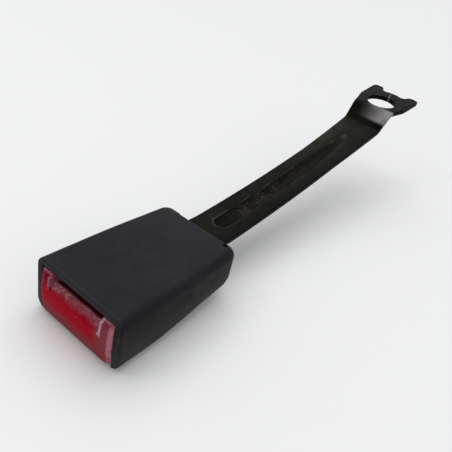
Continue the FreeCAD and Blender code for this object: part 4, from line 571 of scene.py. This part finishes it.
@dataclass(frozen=True)
class BareSteel:
    """Plated or oiled steel with fine drawing lines."""

    name: str = "zinc_steel"
    colour: Triple = (0.50, 0.50, 0.51)
    tint: Triple = (0.56, 0.54, 0.47)
    roughness: float = 0.25
    line_rough: float = 0.14
    mottle: Cloud = Cloud(6.0, 4.0, low=0.35, high=0.65)
    lines: Cloud = Cloud(0.3, 2.0, 0.6, stretch=(40.0, 1.0, 1.0))
    line_depth: float = 0.006
    grain: Cloud = Cloud(1.2, 2.0)
    grain_depth: float = 0.008

    def material(self) -> bpy.types.Material:
        """Builds the finish."""
        graph = Graph(self.name)
        colour = graph.blend(graph.cloud(self.mottle), self.colour, self.tint)
        lines = graph.noise(self.lines)
        rough = graph.sums("MULTIPLY_ADD", lines, self.line_rough, self.roughness)
        graph.relief((lines, self.line_depth), (graph.noise(self.grain), self.grain_depth))
        return graph.dress(Base_Color=colour, Roughness=rough, Metallic=1.0)


@dataclass(frozen=True)
class MouldedPlastic:
    """Natural plastic of the inner parts, with a soft shine."""

    name: str = "inner_acetal"
    colour: Triple = (0.74, 0.72, 0.66)
    shade: Triple = (0.64, 0.62, 0.55)
    mottle: Cloud = Cloud(8.0, low=0.35, high=0.65)
    roughness: Cloud = Cloud(3.0, 2.0, start=0.38, end=0.48)
    grain: Cloud = Cloud(0.5, 2.0)
    grain_depth: float = 0.008
    glow: float = 0.05
    glow_reach: float = 0.001

    def material(self) -> bpy.types.Material:
        """Builds the finish."""
        graph = Graph(self.name)
        colour = graph.blend(graph.cloud(self.mottle), self.colour, self.shade)
        graph.relief((graph.noise(self.grain), self.grain_depth))
        return graph.dress(Base_Color=colour, Roughness=graph.cloud(self.roughness),
                           Subsurface_Weight=self.glow, Subsurface_Scale=self.glow_reach)


@dataclass(frozen=True)
class SoftPad:
    """Felt or rubber, dull and fibrous."""

    name: str = "felt"
    colour: Triple = (0.060, 0.060, 0.064)
    shade: Triple = (0.030, 0.030, 0.032)
    fibre_mm: float = 0.25
    fibre_depth: float = 0.05
    roughness: float = 0.9
    sheen: float = 0.3

    def material(self) -> bpy.types.Material:
        """Builds the finish."""
        graph = Graph(self.name)
        cloud = Cloud(self.fibre_mm, 3.0, 0.7, 0.35, 0.65, stretch=(4.0, 1.0, 1.0), turn=40.0)
        fibres = graph.noise(cloud)
        colour = graph.blend(graph.span(fibres, cloud.low, cloud.high), self.shade, self.colour)
        graph.relief((fibres, self.fibre_depth))
        return graph.dress(Base_Color=colour, Roughness=self.roughness, Sheen_Weight=self.sheen)


@dataclass
class BentPath:
    """The middle line of bent sheet steel: straight runs and arcs, one after the other."""

    start: Point
    runs: list[tuple[float, float]]

    @property
    def length(self) -> float:
        """The whole length in millimetres."""
        return sum(self.run_length(run) for run in self.runs)

    @staticmethod
    def run_length(run: tuple[float, float]) -> float:
        """The length of a run: a straight one is (length, 0), an arc is (radius, turn in degrees)."""
        size, turn = run
        return size * abs(math.radians(turn)) if turn else size

    def place(self, travel: float) -> Triple:
        """The place and slope after some travel along the path.

        Args:
            travel: Millimetres along the path from its start.

        Returns:
            Depth and height in millimetres, and the slope in radians.
        """
        across, up = self.start
        slope = 0.0
        left = travel
        for number, (size, turn) in enumerate(self.runs):
            whole = self.run_length((size, turn))
            step = left if number == len(self.runs) - 1 or left < whole else whole
            if turn:
                bend = step / size * math.copysign(1.0, turn)
                swing = size * math.copysign(1.0, turn)
                across += swing * (math.sin(slope + bend) - math.sin(slope))
                up += swing * (math.cos(slope) - math.cos(slope + bend))
                slope += bend
            else:
                across += step * math.cos(slope)
                up += step * math.sin(slope)
            left -= step
            if left <= 0.0:
                break
        return across, up, slope


@dataclass
class AnchorStrap:
    """The steel strap: a flat blank with rounded edges, pressed with its rib and then bent.

    Lengths are in millimetres and angles in degrees. The places of the outline are counted from
    the middle of the hole, and the rib's from the plane of the front opening.
    """

    # the sheet and its bent middle line
    half_width: float = 9.75
    thick: float = 2.4
    edge: float = 0.45
    tail_start: float = 48.6
    middle_height: float = -5.8
    tail_bend_depth: float = 69.2
    tail_slope: float = 4.9
    tail_radius: float = 30.0
    lead: float = 1.0
    arc_radius: float = 880.0
    arc_slope: float = 12.9
    neck_slope: float = 49.0
    neck_length: float = 11.6
    neck_radius: float = 3.6
    plate_tilt: float = 5.4
    hole_radius: float = 8.1
    hole_land: float = 0.4
    hole_edge: float = 0.15
    # the outline of the blank
    widening_start: float = 61.0
    widening_round: float = 200.0
    neck_foot: float = 16.5
    neck_half: float = 10.9
    neck_foot_round: float = 30.0
    neck_head: float = 7.5
    head_half: float = 11.8
    flare_end: float = 1.5
    plate_half: float = 14.1
    flare_round: float = 12.0
    horn_half: float = 14.6
    horn_length: float = 20.7
    horn_width: float = 6.2
    horn_round: float = 2.6
    dip_depth: float = 14.9
    dip_half: float = 6.6
    crest_depth: float = 16.9
    crest_half: float = 2.6
    # the pressed rib
    rib_end_depth: float = 74.8
    rib_lead: float = 76.2
    rib_length: float = 103.0
    rib_closing: float = 2.35
    rib_radius: float = 4.6
    rib_lift: float = 2.4
    rib_wall: float = 2.0
    rim_soft: float = 0.5
    rim_band: float = 0.2
    groove_depth: float = 1.4
    # the spacing of the mesh
    hole_points: int = 72
    edge_angles: tuple[float, ...] = (22.5, 45.0, 67.5, 90.0)
    border_step: float = 1.4
    border_gap: float = 0.7
    first_row: float = 0.8
    last_row: float = 0.6
    plate_reach: float = 24.0
    rib_before: float = 8.0
    rib_after: float = 6.0
    rib_row: float = 0.5
    plate_row: float = 0.6
    plain_row: float = 1.2
    plain_reach: float = 14.0
    plain_lane: float = 1.4
    rib_lanes: tuple[float, ...] = (0.0, 0.7, 1.4, 2.0, 2.5, 2.9, 3.2, 3.5, 3.8, 4.1, 4.4, 4.8, 5.4, 6.2,
                                    7.2, 8.2, 9.0)

    def __post_init__(self) -> None:
        """Works out the bent middle line from the tail to the horns."""
        def tangent(radius: float, turn: float) -> float:
            """The length from an arc's end to the crossing of its tangents."""
            return radius * math.tan(math.radians(abs(turn)) / 2)

        to_arc = self.arc_slope - self.tail_slope
        to_neck = self.neck_slope - self.arc_slope
        to_plate = self.plate_tilt - self.neck_slope
        tail = self.tail_bend_depth - self.tail_start - tangent(self.tail_radius, self.tail_slope)
        neck = self.neck_length - tangent(self.neck_radius, to_neck) - tangent(self.neck_radius, to_plate)
        plate = self.hole_land + self.hole_radius
        self.path = BentPath((self.tail_start, self.middle_height), [
            (tail, 0.0), (self.tail_radius, self.tail_slope), (self.lead, 0.0),
            (self.arc_radius, to_arc), (self.lead, 0.0), (self.neck_radius, to_neck),
            (neck, 0.0), (self.neck_radius, to_plate), (plate + self.horn_length, 0.0),
        ])
        self.hole_travel = self.path.length - self.horn_length
        self.hole_depth = self.path.place(self.hole_travel)[0]

    def travel_at(self, depth: float) -> float:
        """The travel along the path at which it reaches a depth."""
        low, high = 0.0, self.path.length + self.thick
        while high - low > TRAVEL_ERROR:
            middle = (low + high) / 2
            if self.path.place(middle)[0] < depth:
                low = middle
            else:
                high = middle
        return (low + high) / 2

    def outline(self) -> list[Point]:
        """The blank's outline seen from above, with its corners rounded.

        Returns:
            Points of depth and side in millimetres, counter-clockwise.
        """
        hole = self.hole_depth
        half = [
            (self.tail_start, self.half_width, self.edge),
            (hole - self.widening_start, self.half_width, self.widening_round),
            (hole - self.neck_foot, self.neck_half, self.neck_foot_round),
            (hole - self.neck_head, self.head_half, self.flare_round),
            (hole + self.flare_end, self.plate_half, self.flare_round),
            (hole + self.horn_length, self.horn_half, self.horn_round),
            (hole + self.horn_length, self.horn_half - self.horn_width, self.horn_round),
            (hole + self.dip_depth, self.dip_half, self.horn_round),
            (hole + self.crest_depth, self.crest_half, self.crest_half),
        ]
        corners = half + [(depth, -side, radius) for depth, side, radius in reversed(half)]
        return list(reversed(rounded(corners)))

    def pressed(self, depth: float, side: float) -> Triple:
        """The rib at a place of the strap.

        Args:
            depth: The place's depth in millimetres.
            side: Its distance from the middle line.

        Returns:
            How far the top and the underside are pushed down, and the rim mask.
        """
        share = max(depth - self.rib_lead, 0.0) / self.rib_length
        lift = self.rib_lift + self.rib_closing * share ** 4
        reach = math.hypot(side, max(self.rib_end_depth - depth, 0.0))
        levels = []
        for radius, floor in ((self.rib_radius, lift), (self.rib_radius + self.rib_wall, lift + self.thick)):
            levels.append(math.sqrt(max(radius * radius - reach * reach, 0.0)) - floor)
        soft = self.rim_soft
        top, under = ((level + math.sqrt(level * level + soft * soft)) / 2 for level in levels)
        fade = 1.0 if depth < self.rib_lead + self.rib_length else 0.0
        rim = math.exp(-(levels[0] / self.rim_band) ** 2) * fade
        return top * fade, under * fade, rim

    def build(self, coat: bpy.types.Material) -> bpy.types.Object:
        """Builds the strap's mesh and puts it in place of its solid.

        Args:
            coat: The strap's finish.

        Returns:
            The strap's object.
        """
        inner = inset(self.outline(), self.edge)
        reach = self.hole_radius + self.hole_edge
        hole = [(self.hole_depth + reach * math.cos(angle), reach * math.sin(angle))
                for angle in np.linspace(0.0, 2 * math.pi, self.hole_points, endpoint=False)]
        loops = [densify(inner, self.border_step), list(reversed(hole))]
        flat = self.to_blank(loops)
        points, faces, loop_ids = self.fill(flat)
        mesh = bmesh.new()
        groove = mesh.verts.layers.float.new("groove")
        rim = mesh.verts.layers.float.new("rim")

        def put(travel: float, side: float, level: float) -> bmesh.types.BMVert:
            """A vertex at a place of the blank, pressed and bent."""
            depth, up, slope = self.path.place(travel)
            top, under, mask = self.pressed(depth, side)
            share = 0.5 + level / self.thick
            height = level - (top * share + under * (1.0 - share))
            vert = mesh.verts.new(buckle_point(depth - math.sin(slope) * height, side,
                                               up + math.cos(slope) * height))
            vert[groove] = max(min(top / self.groove_depth, 1.0), 0.0) * share
            vert[rim] = mask * share
            return vert

        top_verts = [put(travel, side, self.thick / 2) for travel, side in points]
        low_verts = [put(travel, side, -self.thick / 2) for travel, side in points]
        for face in faces:
            mesh.faces.new([top_verts[index] for index in face])
            mesh.faces.new([low_verts[index] for index in reversed(face)])
        steps = [math.radians(angle) for angle in self.edge_angles]
        for ids, loop, edge in zip(loop_ids, flat, (self.edge, self.hole_edge)):
            normals = outward(loop)
            rings = [[top_verts[index] for index in ids]]
            profile = [(edge * math.sin(angle), self.thick / 2 - edge * (1 - math.cos(angle)))
                       for angle in steps]
            profile += [(out, -level) for out, level in reversed(profile)]
            for out, level in profile:
                rings.append([put(point[0] + normal[0] * out, point[1] + normal[1] * out, level)
                              for point, normal in zip(loop, normals)])
            rings.append([low_verts[index] for index in ids])
            join_rings(mesh, rings)
        bmesh.ops.recalc_face_normals(mesh, faces=mesh.faces)
        piece = finish_mesh("anchor_strap_steel", mesh, coat)
        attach(piece, HOUSING)
        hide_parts("anchor_strap")
        return piece

    def to_blank(self, loops: list[list[Point]]) -> list[list[Point]]:
        """Turns outlines seen from above, and the round hole, into the flat blank's own length.

        Args:
            loops: The outline in depth and side, then the hole as it lies in the tilted plate.

        Returns:
            The same loops in travel and side.
        """
        plan = [(self.travel_at(depth), side) for depth, side in loops[0]]
        round_hole = [(self.hole_travel + depth - self.hole_depth, side) for depth, side in loops[1]]
        return [plan, round_hole]

    def fill(self, loops: list[list[Point]]) -> tuple[list[Point], list[list[int]], list[list[int]]]:
        """Fills the blank between its outline and its hole with small faces.

        Args:
            loops: The outline and the hole in travel and side.

        Returns:
            The points, the faces, and the point numbers of each loop.
        """
        spots: list[Vector] = []
        edges: list[tuple[int, int]] = []
        for loop in loops:
            first = len(spots)
            spots += [Vector(point) for point in loop]
            edges += [(first + index, first + (index + 1) % len(loop)) for index in range(len(loop))]
        count, border = len(loops[0]), len(spots)
        ids = [list(range(count)), list(range(count, border))]
        outline, hole = [np.array(loop) for loop in loops]
        travel = self.first_row
        while travel < self.path.length - self.last_row:
            ribbed, row = self.row_at(travel)
            for side in self.lanes(ribbed):
                point = np.array((travel, side))
                if inside(point, outline) and not inside(point, hole):
                    gap = min(np.abs(outline - point).sum(1).min(), np.abs(hole - point).sum(1).min())
                    if gap > self.border_gap:
                        spots.append(Vector(point))
            travel += row
        points, _, found = delaunay_2d_cdt(spots, edges, ids, FILL_INSIDE, FILL_ERROR)[:3]
        kept = []
        for face in found:
            middle = np.mean([points[index] for index in face], axis=0)
            if inside(middle, outline) and not inside(middle, hole):
                kept.append(list(face))
        return [tuple(point) for point in points], kept, ids

    def row_at(self, travel: float) -> tuple[bool, float]:
        """Whether a place of the blank is near the rib, and how far away the next row of points is."""
        depth = self.path.place(travel)[0]
        on_plate = depth > self.hole_depth - self.plate_reach
        at_rib_end = depth < self.rib_end_depth + self.rib_after
        ribbed = self.rib_end_depth - self.rib_before < depth < self.rib_lead + self.rib_length
        if ribbed and (at_rib_end or on_plate):
            return ribbed, self.rib_row
        return ribbed, self.plate_row if on_plate else self.plain_row

    def lanes(self, ribbed: bool) -> list[float]:
        """Distances from the middle line at which the blank has points."""
        if not ribbed:
            end = self.plain_reach + self.plain_lane / 2
            return [float(side) for side in np.arange(-self.plain_reach, end, self.plain_lane)]
        return sorted({-side for side in self.rib_lanes} | set(self.rib_lanes))


def rounded(corners: list[Triple]) -> list[Point]:
    """A closed outline with arcs at its corners.

    Args:
        corners: Points with a radius each.

    Returns:
        The outline's points, with short chords along the arcs.
    """
    answer: list[Point] = []
    for number, (across, up, radius) in enumerate(corners):
        spot = Vector((across, up))
        back = (Vector(corners[number - 1][:2]) - spot).normalized()
        ahead = (Vector(corners[(number + 1) % len(corners)][:2]) - spot).normalized()
        half_turn = (math.pi - back.angle(ahead)) / 2
        reach = radius * math.tan(half_turn)
        centre = spot + (back + ahead).normalized() * (radius / math.cos(half_turn))
        first, last = spot + back * reach, spot + ahead * reach
        start = math.atan2(first.y - centre.y, first.x - centre.x)
        swing = math.atan2(last.y - centre.y, last.x - centre.x) - start
        swing = (swing + math.pi) % (2 * math.pi) - math.pi
        steps = int(abs(swing) * radius / ARC_CHORD) + 2
        for step in range(steps + 1):
            angle = start + swing * step / steps
            answer.append((centre.x + radius * math.cos(angle), centre.y + radius * math.sin(angle)))
    return answer


def outward(loop: list[Point]) -> list[Point]:
    """The outward directions at the points of a counter-clockwise loop, or into a clockwise hole."""
    answer = []
    for number in range(len(loop)):
        before, after = Vector(loop[number - 1]), Vector(loop[(number + 1) % len(loop)])
        run = (after - before).normalized()
        answer.append((run.y, -run.x))
    return answer


def inset(loop: list[Point], amount: float) -> list[Point]:
    """A counter-clockwise loop drawn inwards by an amount."""
    return [(point[0] - normal[0] * amount, point[1] - normal[1] * amount)
            for point, normal in zip(loop, outward(loop))]


def densify(loop: list[Point], longest: float) -> list[Point]:
    """A loop whose long runs are cut into pieces no longer than a limit."""
    answer = []
    for number, point in enumerate(loop):
        after = loop[(number + 1) % len(loop)]
        across, up = after[0] - point[0], after[1] - point[1]
        cuts = max(1, math.ceil(math.hypot(across, up) / longest))
        answer += [(point[0] + across * step / cuts, point[1] + up * step / cuts) for step in range(cuts)]
    return answer


def inside(point: np.ndarray, loop: np.ndarray) -> bool:
    """Whether a point lies inside a closed loop."""
    following = np.roll(loop, -1, axis=0)
    crosses = (loop[:, 1] > point[1]) != (following[:, 1] > point[1])
    rise = following[crosses, 1] - loop[crosses, 1]
    share = (point[1] - loop[crosses, 1]) / rise
    reached = loop[crosses, 0] + share * (following[crosses, 0] - loop[crosses, 0])
    return bool(np.count_nonzero(reached > point[0]) % 2)


def join_rings(mesh: bmesh.types.BMesh, rings: list[list[bmesh.types.BMVert]]) -> None:
    """Joins each closed ring of vertices to the next one with faces."""
    for first, second in zip(rings, rings[1:]):
        for index in range(len(first)):
            after = (index + 1) % len(first)
            mesh.faces.new((first[index], second[index], second[after], first[after]))


def finish_mesh(name: str, mesh: bmesh.types.BMesh, material: bpy.types.Material) -> bpy.types.Object:
    """Makes a smooth-shaded object from a mesh.

    Args:
        name: The object's name.
        mesh: The mesh, which is freed.
        material: Its finish.

    Returns:
        The object, linked to the scene.
    """
    data = bpy.data.meshes.new(name)
    mesh.to_mesh(data)
    mesh.free()
    data.shade_smooth()
    data.materials.append(material)
    piece = bpy.data.objects.new(name, data)
    bpy.context.scene.collection.objects.link(piece)
    return piece


@dataclass
class InnerWorks:
    """The pieces inside the covers and their finishes."""

    steel: tuple[str, ...] = ("frame", "frame_rivets", "latch", "latch_pin", "lock_bar")
    wire: tuple[str, ...] = ("button_spring_left", "button_spring_right", "ejector_spring",
                             "latch_spring", "pin_clips")
    plastic: tuple[str, ...] = ("release_slider", "ejector", "tongue_guide")
    felt: tuple[str, ...] = ("rattle_felt",)
    rubber: tuple[str, ...] = ("frame_pads",)

    def dress(self) -> None:
        """Gives each inner piece its finish."""
        finishes = [
            (self.steel, BareSteel()),
            (self.wire, BareSteel("spring_wire", (0.33, 0.33, 0.35), (0.42, 0.40, 0.36), 0.29)),
            (self.plastic, MouldedPlastic()),
            (self.felt, SoftPad()),
            (self.rubber, SoftPad("pad_rubber", (0.035, 0.035, 0.036), (0.022, 0.022, 0.023), 0.8)),
        ]
        for names, finish in finishes:
            material = finish.material()
            for name in names:
                dress_node(name, material)


def dress_node(name: str, material: bpy.types.Material) -> None:
    """Gives a node of the frame one finish."""
    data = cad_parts[name].data
    data.materials.clear()
    data.materials.append(material)
    log.info("dressed %s with %s", name, material.name)


@dataclass
class Studio:
    """A pale floor, a soft sun, a soft box beside the camera and a grey sky."""

    paper: Triple = (0.888, 0.888, 0.888)
    paper_roughness: float = 0.9
    floor_drop: float = 0.0004
    floor_span: float = 6.0
    sky_strength: float = 0.66
    sky_tint: Triple = (0.98, 0.99, 1.0)
    sun_strength: float = 1.05
    sun_angle: float = 60.0
    sun_place: Triple = (-0.25, -0.30, 0.90)
    box_power: float = 0.3
    box_size: float = 0.16
    box_place: Triple = (0.53, -0.33, 0.50)
    box_aim: Triple = (0.01, 0.0, 0.0)

    def build(self) -> None:
        """Builds the floor, the lights and the surroundings."""
        low, high = CAD_BOX
        middle = (low + high) / 2
        mesh = bmesh.new()
        bmesh.ops.create_grid(mesh, x_segments=1, y_segments=1, size=self.floor_span / 2)
        material = Graph("paper").dress(Base_Color=self.paper, Roughness=self.paper_roughness,
                                        Specular_IOR_Level=0.0)
        floor = finish_mesh("floor", mesh, material)
        floor.location = (middle.x, middle.y, low.z - self.floor_drop)
        sun = bpy.data.lights.new("sun", "SUN")
        sun.energy = self.sun_strength
        sun.angle = math.radians(self.sun_angle)
        self.hang(sun, Vector(self.sun_place), middle)
        box = bpy.data.lights.new("soft_box", "AREA")
        box.energy = self.box_power
        box.size = self.box_size
        self.hang(box, Vector(self.box_place), Vector(self.box_aim))
        self.surroundings()

    def hang(self, light: bpy.types.Light, place: Vector, aim: Vector) -> None:
        """Hangs a light at a place and turns it to a point.

        Args:
            light: The light.
            place: Its place in metres.
            aim: The point that it faces.
        """
        lamp = bpy.data.objects.new(light.name, light)
        lamp.location = place
        lamp.rotation_euler = (aim - place).to_track_quat("-Z", "Y").to_euler()
        bpy.context.scene.collection.objects.link(lamp)

    def surroundings(self) -> None:
        """A grey sky that the camera and mirrors see as pale paper."""
        world = bpy.data.worlds.new("studio")
        world.use_nodes = True
        bpy.context.scene.world = world
        tree = world.node_tree
        output = tree.nodes["World Output"]
        seen = tree.nodes["Background"]
        seen.inputs["Color"].default_value = (*self.paper, 1.0)
        lit = tree.nodes.new("ShaderNodeBackground")
        lit.inputs["Color"].default_value = (*self.sky_tint, 1.0)
        lit.inputs["Strength"].default_value = self.sky_strength
        rays = tree.nodes.new("ShaderNodeLightPath")
        share = rays.outputs["Is Camera Ray"]
        for kind in ("Is Glossy Ray", "Is Transmission Ray"):
            either = tree.nodes.new("ShaderNodeMath")
            either.operation = "MAXIMUM"
            tree.links.new(share, either.inputs[0])
            tree.links.new(rays.outputs[kind], either.inputs[1])
            share = either.outputs[0]
        mix = tree.nodes.new("ShaderNodeMixShader")
        tree.links.new(share, mix.inputs["Fac"])
        tree.links.new(lit.outputs[0], mix.inputs[1])
        tree.links.new(seen.outputs[0], mix.inputs[2])
        tree.links.new(mix.outputs[0], output.inputs["Surface"])


@dataclass
class PhotoCamera:
    """The camera at the photograph's viewing angle."""

    place: Triple = (-83.94, -99.3, 118.99)
    across: Triple = (-0.6189, 0.7601, 0.1978)
    down: Triple = (0.3362, 0.4840, -0.8079)
    focal_share: float = 532.1 / 452.0
    nearest: float = 0.01
    farthest: float = 20.0

    def build(self) -> None:
        """Builds the camera and makes it the scene's own."""
        data = bpy.data.cameras.new("photo_camera")
        data.lens = data.sensor_width * self.focal_share
        data.clip_start = self.nearest
        data.clip_end = self.farthest
        camera = bpy.data.objects.new("photo_camera", data)
        right = Vector(self.across).normalized()
        back = right.cross(-Vector(self.down)).normalized()
        up = back.cross(right)
        turn = Matrix((right, up, back)).transposed().to_4x4()
        camera.matrix_world = Matrix.Translation(buckle_point(*self.place)) @ turn
        bpy.context.scene.collection.objects.link(camera)
        bpy.context.scene.camera = camera


def main() -> None:
    """Builds the part's look piece by piece."""
    logging.basicConfig(level=logging.INFO)
    bpy.context.scene.view_settings.view_transform = "Standard"
    Studio().build()
    PhotoCamera().build()
    cover = CoverPlastic().material()
    for name in ("upper_cover", "lower_cover"):
        dress_node(name, cover)
    dress_node("release_button", ButtonPlastic().material())
    strap = AnchorStrap().build(StrapCoat().material())
    log.info("built %s", strap.name)
    InnerWorks().dress()


if __name__ == "__main__":
    main()
